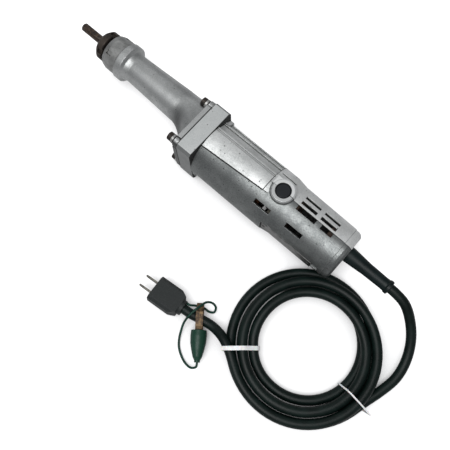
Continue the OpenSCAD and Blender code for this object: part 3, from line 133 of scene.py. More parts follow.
sky = bpy.data.worlds.new("sky")
scene.world = sky
sky.use_nodes = True
tree = sky.node_tree
tree.nodes.clear()
out = tree.nodes.new("ShaderNodeOutputWorld")
seen = tree.nodes.new("ShaderNodeLightPath")
either = tree.nodes.new("ShaderNodeMath")
either.operation = "MAXIMUM"
tree.links.new(seen.outputs["Is Camera Ray"], either.inputs[0])
tree.links.new(seen.outputs["Is Transmission Ray"], either.inputs[1])
lit = tree.nodes.new("ShaderNodeBackground")
lit.inputs["Color"].default_value = sky_tone
lit.inputs["Strength"].default_value = sky_strength
white = tree.nodes.new("ShaderNodeBackground")
white.inputs["Color"].default_value = (1, 1, 1, 1)
pick = tree.nodes.new("ShaderNodeMixShader")
tree.links.new(either.outputs[0], pick.inputs[0])
tree.links.new(lit.outputs[0], pick.inputs[1])
tree.links.new(white.outputs[0], pick.inputs[2])
tree.links.new(pick.outputs[0], out.inputs["Surface"])

# ---------------------------------------------------------------------------
# Route of the mains cord: one length of rubber-sheathed cable, 11 mm thick, from the
# guard in a wide bend to a coil of about four turns on the floor, and on to the plug.
# ---------------------------------------------------------------------------
cord_d = 0.011
cord_step = 0.004
guard_tip = np.array((-0.2595, -0.0028, 0.044))
coil_middle = np.array((-0.2345, 0.0988))
coil_outer = 0.0845
coil_rate = cord_d + 0.001        # change of radius per turn
coil_in, coil_out = np.radians(165), np.radians(58)
coil_sweep = 4 * 2 * np.pi + coil_in - coil_out
inward_sweep = np.radians(840)
climb_sweep = np.radians(110)
tie_t = 0.0013                    # the ties pass under the coil
tie_gap, layer_gap = 0.0003, 0.0008
coil_low = tie_t + cord_d / 2 + tie_gap
coil_high = coil_low + cord_d + layer_gap
floor_shift = np.array((0.0041, -0.0033, 0.0))
straight = 0.6 * cord_d           # of the runs before and after the coil
plug_place = np.array((-0.068, 0.1595, 0.0))
plug_turn, plug_roll = np.radians(6.5), np.radians(9)
plug_half_t, plug_half_w = 0.00925, 0.01475
plug_tail = 0.039                 # from the plug's face to its back
floor_gap = 0.0002


def coil_line(a):
    """The coil at sweep a: its radius shrinks at a steady rate up to inward_sweep and
    grows again after it; there it climbs one layer by half a cosine wave. The
    floor layer is shifted a little to one side."""
    a = np.asarray(a, float)
    radius = coil_outer - coil_rate * (inward_sweep - np.abs(a - inward_sweep)) / (2 * np.pi)
    rise = (1 - np.cos(np.pi * np.clip((a - inward_sweep) / climb_sweep + 0.5, 0, 1))) / 2
    middle = np.stack((coil_middle[0] + radius * np.cos(coil_in - a),
                       coil_middle[1] + radius * np.sin(coil_in - a),
                       coil_low + (coil_high - coil_low) * rise), -1)
    return middle + (1 - rise)[..., None] * floor_shift


def smooth_line(points, step):
    """A centripetal Catmull-Rom curve through the points, each span cut into
    pieces of about one step, as whole arrays per span."""
    p = np.asarray(points, float)
    p = np.vstack((2 * p[0] - p[1], p, 2 * p[-1] - p[-2]))
    line = []
    for i in range(1, len(p) - 2):
        gaps = np.maximum(np.linalg.norm(np.diff(p[i - 1:i + 3], axis=0), axis=1), 1e-6)
        t = np.cumsum(np.append(0.0, gaps ** 0.5))
        n = max(2, int(np.ceil(gaps[1] / step)))
        u = np.linspace(t[1], t[2], n, endpoint=False)[:, None]
        a1 = (t[1] - u) / (t[1] - t[0]) * p[i - 1] + (u - t[0]) / (t[1] - t[0]) * p[i]
        a2 = (t[2] - u) / (t[2] - t[1]) * p[i] + (u - t[1]) / (t[2] - t[1]) * p[i + 1]
        a3 = (t[3] - u) / (t[3] - t[2]) * p[i + 1] + (u - t[2]) / (t[3] - t[2]) * p[i + 2]
        b1 = (t[2] - u) / (t[2] - t[0]) * a1 + (u - t[0]) / (t[2] - t[0]) * a2
        b2 = (t[3] - u) / (t[3] - t[1]) * a2 + (u - t[1]) / (t[3] - t[1]) * a3
        line.append((t[2] - u) / (t[2] - t[1]) * b1 + (u - t[1]) / (t[2] - t[1]) * b2)
    return np.vstack(line + [p[-2:-1]])


def coil_heading(a):
    """The way the cord runs at sweep a, seen from above: clockwise round the coil."""
    return np.array((np.sin(coil_in - a), -np.cos(coil_in - a), 0))


coil_start = coil_line(0.0) - cord_d * coil_heading(0.0)
coil_end = coil_line(coil_sweep) + cord_d * coil_heading(coil_sweep)
plug_heading = np.array((np.cos(plug_turn), np.sin(plug_turn), 0))
plug_z = plug_half_t * np.cos(plug_roll) + plug_half_w * np.sin(plug_roll) + floor_gap
plug_back = plug_place - plug_tail * plug_heading + np.array((0, 0, plug_z))

bend_places = np.array([(-281, -1, 40.5), (-298, 7, 30), (-313, 21, 20), (-323, 40, 12),
                        (-326, 60, 9), (-322, 82, 7.6)]) / 1000
tool_route = np.vstack((guard_tip, guard_tip - (0.006, 0, 0.0003), bend_places,
                        coil_start - straight * coil_heading(0.0), coil_start, coil_line(0.0)))
over_places = np.array([(-161.5, 150.4, 16.6), (-144.5, 148.2, 10.6), (-127, 151.3, 9.4)]) / 1000
plug_route = np.vstack((coil_line(coil_sweep), coil_end,
                        coil_end + straight * coil_heading(coil_sweep), over_places,
                        plug_back - 0.010 * plug_heading, plug_back))
turns = np.linspace(0, coil_sweep, 300)
cord_line = np.vstack((smooth_line(tool_route, cord_step)[:-1], coil_line(turns)[:-1],
                       smooth_line(plug_route, cord_step)))

# ---------------------------------------------------------------------------
# Ties: two bands of white nylon round the coil, a wide one and a thin one, drawn
# tight by hand, faintly ribbed and a little yellowed.
# ---------------------------------------------------------------------------
tie_play = 0.00025     # between a band and the turns it holds
slack_rise = 0.0033    # of the slack above the middle of the top turns
wide_tie_turn, wide_tie_w, wide_tie_slack = np.radians(42), 0.0046, 0.0006
thin_tie_turn, thin_tie_w, thin_tie_slack = np.radians(174), 0.0016, 0.0052
nylon_low, nylon_high = (0.62, 0.63, 0.63), (0.8, 0.8, 0.8)


def turns_cut(turn):
    """Distance from the coil's middle and height of the cord at each place where it
    crosses the half plane at angle turn."""
    flat = cord_line[:, :2] - coil_middle
    side = flat @ np.array((-np.sin(turn), np.cos(turn)))
    ahead = flat @ np.array((np.cos(turn), np.sin(turn)))
    high = cord_line[:, 2]
    cut = np.nonzero((side[:-1] * side[1:] < 0) & (ahead[:-1] > 0))[0]
    share = side[cut] / (side[cut] - side[cut + 1])
    return np.column_stack([line[cut] + share * (line[cut + 1] - line[cut])
                            for line in (ahead, high)])


def turns_left(a, b, c):
    """True where the path through the plane points a, b and c bends to the left."""
    return (b[0] - a[0]) * (c[1] - a[1]) - (b[1] - a[1]) * (c[0] - a[0]) > 0


def outline_round(points):
    """The convex outline of plane points, anticlockwise, by sorting them and keeping
    left turns only along the lower and then the upper side."""
    order = points[np.lexsort((points[:, 1], points[:, 0]))]
    hull = []
    for run in (order, order[::-1]):
        start = len(hull)
        for p in run:
            while len(hull) - start > 1 and not turns_left(hull[-2], hull[-1], p):
                hull.pop()
            hull.append(p)
        hull.pop()
    return np.array(hull)


def tie_band(name, turn, width, slack):
    """A flat band drawn round the turns at one angle: the convex outline of circles about
    the cuts and of one point out past the top outer turn, where slack is left. Its four
    edge loops, two outside and two inside, are joined into a closed ring, faces out."""
    cuts = turns_cut(turn)
    a = np.linspace(0, 2 * np.pi, 32, endpoint=False)
    ring = np.column_stack((np.cos(a), np.sin(a)))
    reach = cord_d / 2 + tie_play + tie_t
    pulled = np.array((cuts[:, 0].max() + reach + slack, coil_high + slack_rise))
    outer = outline_round(np.vstack([c + reach * ring for c in cuts] + [pulled]))
    edge = np.roll(outer, -1, 0) - np.roll(outer, 1, 0)
    inward = np.column_stack((-edge[:, 1], edge[:, 0])) / np.linalg.norm(edge, axis=1)[:, None]
    inner = outer + tie_t * inward
    n = len(outer)
    across = np.array((-np.sin(turn), np.cos(turn)))
    along = np.array((np.cos(turn), np.sin(turn)))
    grid = []
    for loop, side in ((outer, -1), (outer, 1), (inner, 1), (inner, -1)):
        flat = coil_middle + loop[:, :1] * along + side * width / 2 * across
        grid.append(np.column_stack((flat, np.maximum(loop[:, 1], 0.0))))
    i = np.arange(n)
    j = (i + 1) % n
    faces = np.vstack([np.column_stack((k * n + i, m * n + i, m * n + j, k * n + j))
                       for k, m in ((0, 1), (1, 2), (2, 3), (3, 0))])
    mesh = bpy.data.meshes.new(name)
    mesh.from_pydata(np.vstack(grid).tolist(), [], faces.tolist())
    item = bpy.data.objects.new(name, mesh)
    scene.collection.objects.link(item)
    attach(item, "housing")
    return item


wide_band = tie_band("wide_band", wide_tie_turn, wide_tie_w, wide_tie_slack)
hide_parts("wide_tie")
thin_band = tie_band("thin_band", thin_tie_turn, thin_tie_w, thin_tie_slack)
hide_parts("thin_tie")


def add(tree, kind, inputs=None, **settings):
    """Adds one shader node; an input is given as a socket to link or as a plain value."""
    node = tree.nodes.new("ShaderNode" + kind)
    for key, value in settings.items():
        setattr(node, key, value)
    for key, value in (inputs or {}).items():
        if isinstance(value, bpy.types.NodeSocket):
            tree.links.new(value, node.inputs[key])
        else:
            node.inputs[key].default_value = value
    return node


def blend_two(tree, share, low, high):
    """A colour between low and high by share; returns the colour socket."""
    node = add(tree, "Mix", data_type="RGBA", clamp_factor=True)
    for socket, value in ((node.inputs[0], share), (node.inputs[6], low), (node.inputs[7], high)):
        if isinstance(value, bpy.types.NodeSocket):
            tree.links.new(value, socket)
        else:
            socket.default_value = (*value, 1) if isinstance(value, tuple) else value
    return node.outputs[2]


def step_between(tree, value, low, high):
    """0 below low, 1 above high, a smooth step between them."""
    return add(tree, "MapRange", {"Value": value, "From Min": low, "From Max": high},
               interpolation_type="SMOOTHSTEP").outputs[0]


def calc(tree, operation, *values):
    """One Math node over the values; returns its output."""
    return add(tree, "Math", dict(enumerate(values)), operation=operation).outputs[0]


nylon = bpy.data.materials.new("white_nylon")
nylon.use_nodes = True
tree = nylon.node_tree
bsdf = tree.nodes["Principled BSDF"]
place = add(tree, "TexCoord").outputs["Object"]
stain = add(tree, "TexNoise", {"Vector": place, "Scale": 150.0, "Detail": 4.0})
rib = add(tree, "TexWave", {"Vector": place, "Scale": 260.0, "Distortion": 0.3},
          bands_direction="DIAGONAL")
aged = step_between(tree, stain.outputs[0], 0.4, 0.72)
tree.links.new(blend_two(tree, aged, nylon_high, nylon_low), bsdf.inputs["Base Color"])
tree.links.new(calc(tree, "MULTIPLY_ADD", stain.outputs[0], 0.25, 0.25), bsdf.inputs["Roughness"])
relief = add(tree, "Bump", {"Height": rib.outputs["Fac"], "Strength": 0.4, "Distance": 0.0001})
tree.links.new(relief.outputs[0], bsdf.inputs["Normal"])
bsdf.inputs["Subsurface Weight"].default_value = 0.1
bsdf.inputs["Subsurface Scale"].default_value = 0.001
wide_band.data.materials.append(nylon)
thin_band.data.materials.append(nylon)

# ---------------------------------------------------------------------------
# The cord itself, drawn along its route. It comes after its ties.
# ---------------------------------------------------------------------------
def tube_curve(name, line, radius, ring=5):
    """A curve of one open straight-sided spline along the line, with a round section.
    The radius is set on the points, because a curve's box grows by the points' radius."""
    curve = bpy.data.curves.new(name, "CURVE")
    curve.dimensions = "3D"
    curve.bevel_depth = 1.0
    curve.bevel_resolution = ring
    curve.use_fill_caps = True
    spline = curve.splines.new("POLY")
    spline.points.add(len(line) - 1)
    spline.points.foreach_set("co", np.column_stack((line, np.ones(len(line)))).ravel())
    spline.points.foreach_set("radius", np.full(len(line), radius))
    item = bpy.data.objects.new(name, curve)
    scene.collection.objects.link(item)
    return item


cord = tube_curve("mains_cord", cord_line, cord_d / 2)
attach(cord, "housing")
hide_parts("cord_tool_run", "cord_coil", "cord_plug_run")

# ---------------------------------------------------------------------------
# Earth lead: a thin green wire that leaves the plug beside the cord, crosses over
# it in a loop and runs back into the tail of the spring clip's boot.
# ---------------------------------------------------------------------------
earth_d = 0.0026
earth_step = 0.002
wire_gap = 0.0002
clip_turn = np.radians(-51.6)
clip_pin_place = np.array((-0.1344, 0.1602, 0.0094))
boot_tail = 0.0355              # from the clip's pin to the end of its boot

beside_plug = np.array((np.sin(plug_turn), -np.cos(plug_turn), 0))
earth_start = plug_back + (cord_d / 2 + wire_gap + earth_d / 2) * beside_plug
clip_heading = np.array((np.cos(clip_turn), np.sin(clip_turn), 0))
boot_end = clip_pin_place - boot_tail * clip_heading
loop_places = np.array([
    (-113, 144, 5), (-117.5, 141, 2), (-123, 139, 1.5), (-129, 138.5, 2.2), (-134, 135.5, 5),
    (-132.5, 130.5, 8.5), (-127, 129.5, 12.5), (-122, 133, 16), (-120, 140, 19.6),
    (-118.6, 148, 21), (-117.6, 157, 20), (-117.6, 166, 12.6), (-120, 174, 5), (-124, 182, 1.8),
    (-130, 189, 1.6), (-138, 194, 1.8), (-147, 197, 3), (-155, 196.5, 6),
    (-158.8, 192, 8.6)]) / 1000
earth_route = np.vstack((earth_start, earth_start - 0.003 * plug_heading, loop_places,
                         boot_end - 0.0004 * clip_heading, boot_end + 0.001 * clip_heading))
earth_line = smooth_line(earth_route, earth_step)
earth_lead = tube_curve("earth_wire", earth_line, earth_d / 2, 3)
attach(earth_lead, "housing")
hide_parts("earth_lead")


# ---------------------------------------------------------------------------
# Rubber of the cord, guard and plug: matt black-green sheath with a fine bloom,
# rubbed a little brighter where it has been dragged over floors.
# ---------------------------------------------------------------------------
def start_group(name, inputs, outputs):
    """A new shader group with number inputs (name, default) and outputs (name, kind)."""
    tree = bpy.data.node_groups.new(name, "ShaderNodeTree")
    for label, value in inputs:
        kind = "NodeSocketVector" if isinstance(value, tuple) else "NodeSocketFloat"
        tree.interface.new_socket(name=label, in_out="INPUT",
                                  socket_type=kind).default_value = value
    for label, kind in outputs:
        tree.interface.new_socket(name=label, in_out="OUTPUT", socket_type="NodeSocket" + kind)
    return tree, tree.nodes.new("NodeGroupInput").outputs, tree.nodes.new("NodeGroupOutput")


# Bloom and rub marks of rubber: Patch is a slow cloud, Rub a set of thin scuffs,
# Grain the fine roughness of the skin.
tree, given, result = start_group("rubber_skin", [("Cloud Scale", 60.0), ("Grain Scale", 1600.0)],
                                  [("Patch", "Float"), ("Rub", "Float"), ("Grain", "Float")])
place = add(tree, "TexCoord").outputs["Object"]
cloud = add(tree, "TexNoise", {"Vector": place, "Scale": given["Cloud Scale"], "Detail": 5.0,
                               "Roughness": 0.6})
grain = add(tree, "TexNoise", {"Vector": place, "Scale": given["Grain Scale"], "Detail": 2.0})
scuffs = add(tree, "TexNoise", {"Vector": place, "Scale": 420.0, "Detail": 6.0, "Roughness": 0.8,
                                "Distortion": 1.2})
tree.links.new(cloud.outputs[0], result.inputs["Patch"])
tree.links.new(step_between(tree, scuffs.outputs[0], 0.58, 0.7), result.inputs["Rub"])
tree.links.new(grain.outputs[0], result.inputs["Grain"])
rubber_skin = tree


def rubber_material(name, deep, bloom, rub, rough, depth):
    """Black rubber: deep colour with clouds of bloom and paler rub marks."""
    material = bpy.data.materials.new(name)
    material.use_nodes = True
    tree = material.node_tree
    bsdf = tree.nodes["Principled BSDF"]
    skin = add(tree, "Group", node_tree=rubber_skin)
    body = blend_two(tree, step_between(tree, skin.outputs["Patch"], 0.35, 0.7), deep, bloom)
    tree.links.new(blend_two(tree, calc(tree, "MULTIPLY", skin.outputs["Rub"], 0.5), body, rub),
                   bsdf.inputs["Base Color"])
    tree.links.new(calc(tree, "MULTIPLY_ADD", skin.outputs["Patch"], 0.22, rough - 0.1),
                   bsdf.inputs["Roughness"])
    bump = add(tree, "Bump", {"Height": skin.outputs["Grain"], "Strength": 0.5, "Distance": depth})
    tree.links.new(bump.outputs[0], bsdf.inputs["Normal"])
    bsdf.inputs["Specular IOR Level"].default_value = 0.22
    return material


def dress(material, *names):
    """Gives each CAD node the material in every one of its slots."""
    for name in names:
        mesh = nodes[name].data
        if not mesh.materials:
            mesh.materials.append(material)
        for i in range(len(mesh.materials)):
            mesh.materials[i] = material


cord.data.materials.append(rubber_material(
    "cord_rubber", (0.0008, 0.0042, 0.0034), (0.003, 0.0095, 0.008), (0.016, 0.026, 0.021), 0.46,
                                           0.00012))
dress(rubber_material("guard_rubber", (0.002, 0.006, 0.0065), (0.0045, 0.0105, 0.011),
                      (0.014, 0.024, 0.024), 0.45, 0.0001), "cord_guard")
earth_lead.data.materials.append(rubber_material(
    "earth_wire_green", (0.006, 0.03, 0.02), (0.012, 0.05, 0.035), (0.03, 0.09, 0.06), 0.42,
                                                 0.00004))

# ---------------------------------------------------------------------------
# Castings: nose housing, gear plate and the three casing parts, sand-cast in bare
# aluminium, ground and tumbled, now dull and pitted, with painted shade in corners.
# ---------------------------------------------------------------------------
axis_h = 0.0355
casing_r = 0.035
cover_r0, cover_r1 = 0.0327, 0.0313           # of the rear cover, front and rear
cover_front_x = -0.093
step_x0, step_x1 = -0.111, -0.124             # where the casing steps down to the cover
cover_rear_x, slots_rear_x = -0.194, -0.183
highlight_h = 0.0715                             # the tops above it get a painted highlight
flank_grooves = ((18.4, 2.0), (33.2, 8.0), (53.4, 8.0), (73.2, 7.4))    # turn, half width
edge_w, edge_tone = 0.0005, (0.62, 0.63, 0.63)
top_highlight_tone, dirt_and_shade_tone = (0.60, 0.61, 0.61), (0.018, 0.019, 0.018)

# Skin of a casting: Tone is its mottled brightness, Height its grain, Pits small holes.
tree, given, result = start_group("cast_skin", [("Grain Scale", 900.0), ("Cloud Scale", 45.0),
                                                ("Pit Share", 0.12)],
                                  [("Tone", "Float"), ("Height", "Float"), ("Pits", "Float")])
place = add(tree, "TexCoord").outputs["Object"]
grain = add(tree, "TexNoise", {"Vector": place, "Scale": given["Grain Scale"], "Detail": 3.0,
                               "Roughness": 0.65})
cloud = add(tree, "TexNoise", {"Vector": place, "Scale": given["Cloud Scale"], "Detail": 5.0,
                               "Roughness": 0.6})
cells = add(tree, "TexVoronoi", {"Vector": place, "Scale": 330.0, "Randomness": 1.0})
chance = add(tree, "SeparateColor", {"Color": cells.outputs["Color"]}).outputs[0]
hole = calc(tree, "MULTIPLY", step_between(tree, cells.outputs["Distance"], 0.3, 0.16),
            calc(tree, "LESS_THAN", chance, given["Pit Share"]))
tone = calc(tree, "MULTIPLY_ADD", grain.outputs[0], 0.55,
            calc(tree, "MULTIPLY", cloud.outputs[0], 0.45))
tree.links.new(step_between(tree, tone, 0.36, 0.64), result.inputs["Tone"])
tree.links.new(calc(tree, "SUBTRACT", grain.outputs[0], hole), result.inputs["Height"])
tree.links.new(hole, result.inputs["Pits"])
cast_skin = tree

# Edges rubbed bright: the normal of an edge rounded over Width, and Wear, which grows
# with the angle between that normal and the true one.
tree, given, result = start_group("rubbed_edges", [("Width", 0.0005)],
                                  [("Wear", "Float"), ("Normal", "Vector")])
rounded = add(tree, "Bevel", {"Radius": given["Width"]}, samples=6)
true_one = add(tree, "NewGeometry").outputs["Normal"]
match = add(tree, "VectorMath", {0: rounded.outputs[0], 1: true_one},
            operation="DOT_PRODUCT").outputs["Value"]
tree.links.new(step_between(tree, match, 0.985, 0.86), result.inputs["Wear"])
tree.links.new(rounded.outputs[0], result.inputs["Normal"])
rubbed_edges = tree

# Painted shade in corners: dark where other surfaces stand within Reach, by ambient occlusion
# broken up by noise.
tree, given, result = start_group("painted_corner_shade", [("Reach", 0.004), ("Amount", 1.0)],
                                  [("Painted Shade", "Float")])
place = add(tree, "TexCoord").outputs["Object"]
open_share = add(tree, "AmbientOcclusion", {"Distance": given["Reach"]}, samples=8).outputs["AO"]
patchy = add(tree, "TexNoise", {"Vector": place, "Scale": 300.0, "Detail": 4.0}).outputs[0]
openness = calc(tree, "MULTIPLY_ADD", patchy, 0.25, calc(tree, "SUBTRACT", open_share, 0.12))
closed = calc(tree, "SUBTRACT", 1.0, openness)
tree.links.new(calc(tree, "MULTIPLY", step_between(tree, closed, 0.1, 0.6), given["Amount"]),
               result.inputs["Painted Shade"])
painted_corner_shade = tree

# Oil and dust along a joint: dark within Width of the plane Facing . P = Offset.
tree, given, result = start_group("joint_line", [("Facing", (1.0, 0.0, 0.0)), ("Offset", 0.0),
                                                 ("Width", 0.0006)], [("Line", "Float")])
place = add(tree, "TexCoord").outputs["Object"]
along = add(tree, "VectorMath", {0: place, 1: given["Facing"]},
            operation="DOT_PRODUCT").outputs["Value"]
away = calc(tree, "ABSOLUTE", calc(tree, "SUBTRACT", along, given["Offset"]))
share = calc(tree, "MINIMUM", calc(tree, "DIVIDE", away, given["Width"]), 1.0)
tree.links.new(calc(tree, "SUBTRACT", 1.0, share), result.inputs["Line"])
joint_line = tree


def line_mask(tree, facing, offset, width, from_x=-1.0, to_x=1.0):
    """Places a joint line in a material, between two stations along X, and returns its
    hardened mask."""
    node = add(tree, "Group", {"Facing": facing, "Offset": offset, "Width": width},
               node_tree=joint_line)
    along = add(tree, "SeparateXYZ", {0: add(tree, "TexCoord").outputs["Object"]}).outputs["X"]
    span = calc(tree, "MULTIPLY", calc(tree, "GREATER_THAN", along, from_x),
                calc(tree, "LESS_THAN", along, to_x))
    return calc(tree, "MULTIPLY", span, step_between(tree, node.outputs["Line"], 0.0, 0.45))


# Painted shade inside the casing: 1 where a face looks at the motor axis.
tree, given, result = start_group("inward_shade", [("Axis Height", axis_h)], [("Inside", "Float")])
place = add(tree, "TexCoord").outputs["Object"]
down = calc(tree, "MULTIPLY", given["Axis Height"], -1.0)
lowered = add(tree, "CombineXYZ", {"Z": down}).outputs[0]
shifted = add(tree, "VectorMath", {0: place, 1: lowered}).outputs[0]
from_axis = add(tree, "VectorMath", {0: shifted, 1: (0.0, 1.0, 1.0)},
                operation="MULTIPLY").outputs[0]
outward = add(tree, "VectorMath", {0: from_axis}, operation="NORMALIZE").outputs[0]
facing = add(tree, "VectorMath", {0: outward, 1: add(tree, "NewGeometry").outputs["Normal"]},
             operation="DOT_PRODUCT").outputs["Value"]
tree.links.new(step_between(tree, facing, -0.35, -0.6), result.inputs["Inside"])
inward_shade = tree


def casting_material(name, low, high, rough, metallic, lines=(), reach=0.004, pits=0.1, grain=900.0,
                     shade_mask=None, highlight_above=None, hollow=False, deep=None):
    """Bare cast aluminium between the colours low and high. lines are joints
    (facing, offset, width, from_x, to_x); extra(tree) gives a mask of painted shade and
    deep(tree) one of nearly black painted shade; above the height highlight_above the tops get a
    painted highlight; hollow paints shade on its inside, and corners get painted shade."""
    material = bpy.data.materials.new(name)
    material.use_nodes = True
    tree = material.node_tree
    bsdf = tree.nodes["Principled BSDF"]
    skin = add(tree, "Group", {"Grain Scale": grain, "Pit Share": pits}, node_tree=cast_skin)
    edge = add(tree, "Group", {"Width": edge_w}, node_tree=rubbed_edges)
    # Painted shade in corners; dark joint lines and pits are added to the same mask.
    dirt_and_shade = add(tree, "Group", {"Reach": reach, "Amount": 1.0}, node_tree=painted_corner_shade).outputs[0]
    for line in lines:
        dirt_and_shade = calc(tree, "MAXIMUM", dirt_and_shade, line_mask(tree, *line))
    dirt_and_shade = calc(tree, "MAXIMUM", dirt_and_shade, calc(tree, "MULTIPLY", skin.outputs["Pits"], 0.8))
    body = blend_two(tree, skin.outputs["Tone"], low, high)
    # Painted shade: extra(tree) darkens the colour towards a third of low.
    if shade_mask:
        body = blend_two(tree, shade_mask(tree), body, tuple(0.32 * c for c in low))
    # Painted highlight: tops above highlight_above are lightened towards top_highlight_tone.
    if highlight_above is not None:
        height = add(tree, "SeparateXYZ", {0: add(tree, "TexCoord").outputs["Object"]}).outputs["Z"]
        top = step_between(tree, height, highlight_above, highlight_above + 0.0003)
        body = blend_two(tree, calc(tree, "MULTIPLY", top, 0.75), body, top_highlight_tone)
    # Painted shade, nearly black, where deep(tree) is high.
    if deep:
        dirt_and_shade = calc(tree, "MAXIMUM", dirt_and_shade, deep(tree))
    # Painted shade on the faces inside the casing.
    if hollow:
        inside = add(tree, "Group", {"Axis Height": axis_h}, node_tree=inward_shade).outputs[0]
        dirt_and_shade = calc(tree, "MAXIMUM", dirt_and_shade, inside)
    body = blend_two(tree, calc(tree, "MULTIPLY", edge.outputs["Wear"], 0.7), body, edge_tone)
    tree.links.new(blend_two(tree, dirt_and_shade, body, dirt_and_shade_tone), bsdf.inputs["Base Color"])
    clean_unshaded = calc(tree, "SUBTRACT", 1.0, calc(tree, "MULTIPLY", dirt_and_shade, 0.8))
    tree.links.new(calc(tree, "MULTIPLY", metallic, clean_unshaded), bsdf.inputs["Metallic"])
    tree.links.new(calc(tree, "MULTIPLY_ADD", skin.outputs["Tone"], -0.12,
                        calc(tree, "MULTIPLY_ADD", dirt_and_shade, 0.3, rough)), bsdf.inputs["Roughness"])
    relief = add(tree, "Bump", {"Height": skin.outputs["Height"], "Normal": edge.outputs["Normal"],
                                "Strength": 0.5, "Distance": 0.00012})
    tree.links.new(relief.outputs[0], bsdf.inputs["Normal"])
    return material


def flare_side_shade(tree):
    """Painted shade on the flare: on faces that look to +Y, near the plate."""
    place = add(tree, "SeparateXYZ", {0: add(tree, "TexCoord").outputs["Object"]})
    facing = add(tree, "SeparateXYZ", {0: add(tree, "NewGeometry").outputs["Normal"]})
    near = step_between(tree, place.outputs["X"], 0.058, 0.035)
    return calc(tree, "MULTIPLY", near, step_between(tree, facing.outputs["Y"], 0.1, 0.75))


def plate_side_shade(tree):
    """Painted shade on the sides and back of the gear plate, which its ground top lacks."""
    facing = add(tree, "SeparateXYZ", {0: add(tree, "NewGeometry").outputs["Normal"]})
    side = calc(tree, "MAXIMUM", calc(tree, "ABSOLUTE", facing.outputs["Y"]),
                calc(tree, "MULTIPLY", facing.outputs["X"], -1.0))
    return calc(tree, "MULTIPLY", step_between(tree, side, 0.5, 0.85), 0.9)


def axis_distance(tree, place):
    """Distance from the motor axis of the separated point place."""
    up = calc(tree, "SUBTRACT", place.outputs["Z"], axis_h)
    across = calc(tree, "MULTIPLY", place.outputs["Y"], place.outputs["Y"])
    return calc(tree, "SQRT", calc(tree, "MULTIPLY_ADD", up, up, across))


def flank_groove_shade(tree):
    """Painted shade in the flank's long grooves: a little on their floors, more along
    their sides, which lie half a width before and after a groove's turn from the top."""
    place = add(tree, "SeparateXYZ", {0: add(tree, "TexCoord").outputs["Object"]})
    sunk = step_between(tree, axis_distance(tree, place), casing_r - 0.0001, casing_r - 0.0005)
    turn = calc(tree, "ARCTAN2", calc(tree, "MULTIPLY", place.outputs["Y"], -1.0),
                calc(tree, "SUBTRACT", place.outputs["Z"], axis_h))
    mask = 0.1
    for side in [middle + way * half for middle, half in flank_grooves for way in (-1, 1)]:
        away = calc(tree, "ABSOLUTE", calc(tree, "SUBTRACT", turn, float(np.radians(side))))
        mask = calc(tree, "MAXIMUM", mask, step_between(tree, away, 0.022, 0.006))
    return calc(tree, "MULTIPLY", sunk, mask)


def slot_wall_shade(tree):
    """Painted shade on the deep part of the walls of the cover's slots: below the
    casing's outside, whose radius steps down from front to rear."""
    place = add(tree, "SeparateXYZ", {0: add(tree, "TexCoord").outputs["Object"]})
    step = add(tree, "MapRange", {
        "Value": place.outputs["X"], "From Min": step_x1, "From Max": step_x0,
        "To Min": 0.0, "To Max": casing_r - cover_r0}).outputs[0]
    taper = add(tree, "MapRange", {
        "Value": place.outputs["X"], "From Min": cover_rear_x, "From Max": step_x1,
        "To Min": cover_r1, "To Max": cover_r0}).outputs[0]
    sunk = calc(tree, "SUBTRACT", calc(tree, "ADD", step, taper), axis_distance(tree, place))
    return calc(tree, "MULTIPLY", step_between(tree, sunk, 0.0007, 0.0013),
                calc(tree, "GREATER_THAN", place.outputs["X"], slots_rear_x))


lip_joint = ((1, 0, 0), 0.010, 0.0009)
plate_joint = ((1, 0, 0), -0.010, 0.0007)
strip_x0, strip_y0 = -0.010, 0.0145
strip_x1, strip_y1 = -0.0994, 0.0094
strip_slope = (strip_y1 - strip_y0) / (strip_x1 - strip_x0)
strip_joint = ((-strip_slope, 1, 0), strip_y0 - strip_slope * strip_x0, 0.0009)
seam_on_shell = (*strip_joint, cover_front_x)
cover_joint = ((1, 0, 0), cover_front_x, 0.0006)
parting_joint = ((0, 1, 0), -0.0028, 0.0005, -1.0, -0.119)

dress(casting_material("nose_casting", (0.36, 0.37, 0.368), (0.54, 0.55, 0.548), 0.55, 1.0,
                       [lip_joint], shade_mask=flare_side_shade, pits=0.05), "nose_housing")
dress(casting_material("plate_casting", (0.43, 0.45, 0.45), (0.60, 0.615, 0.61), 0.5, 0.55,
                       [lip_joint, plate_joint], shade_mask=plate_side_shade, pits=0.05, grain=1300.0),
      "gear_plate")
dress(casting_material("housing_casting", (0.46, 0.475, 0.47), (0.70, 0.71, 0.705), 0.62, 0.6,
                       [strip_joint, plate_joint, cover_joint], shade_mask=flank_groove_shade, pits=0.12,
                       hollow=True, reach=0.0014), "motor_housing")
# The shell takes a far darker copy of the castings' aluminium: painted shade on this side of the
# casing.
dress(casting_material("shell_casting", (0.115, 0.123, 0.123), (0.205, 0.215, 0.213), 0.52, 0.8,
                       [plate_joint, seam_on_shell, parting_joint], pits=0.12,
                       highlight_above=highlight_h, hollow=True, reach=0.0014), "left_shell")
dress(casting_material("cover_casting", (0.54, 0.55, 0.545), (0.74, 0.75, 0.745), 0.55, 0.55,
                       [cover_joint, parting_joint], pits=0.12, highlight_above=highlight_h, hollow=True,
                       deep=slot_wall_shade, reach=0.0014), "rear_cover")

# ---------------------------------------------------------------------------
# Nose cap, collet and small turned fittings: turned on a lathe, so their grain runs
# round the spindle; the cap is aluminium, the washers and screws are steel.
# ---------------------------------------------------------------------------

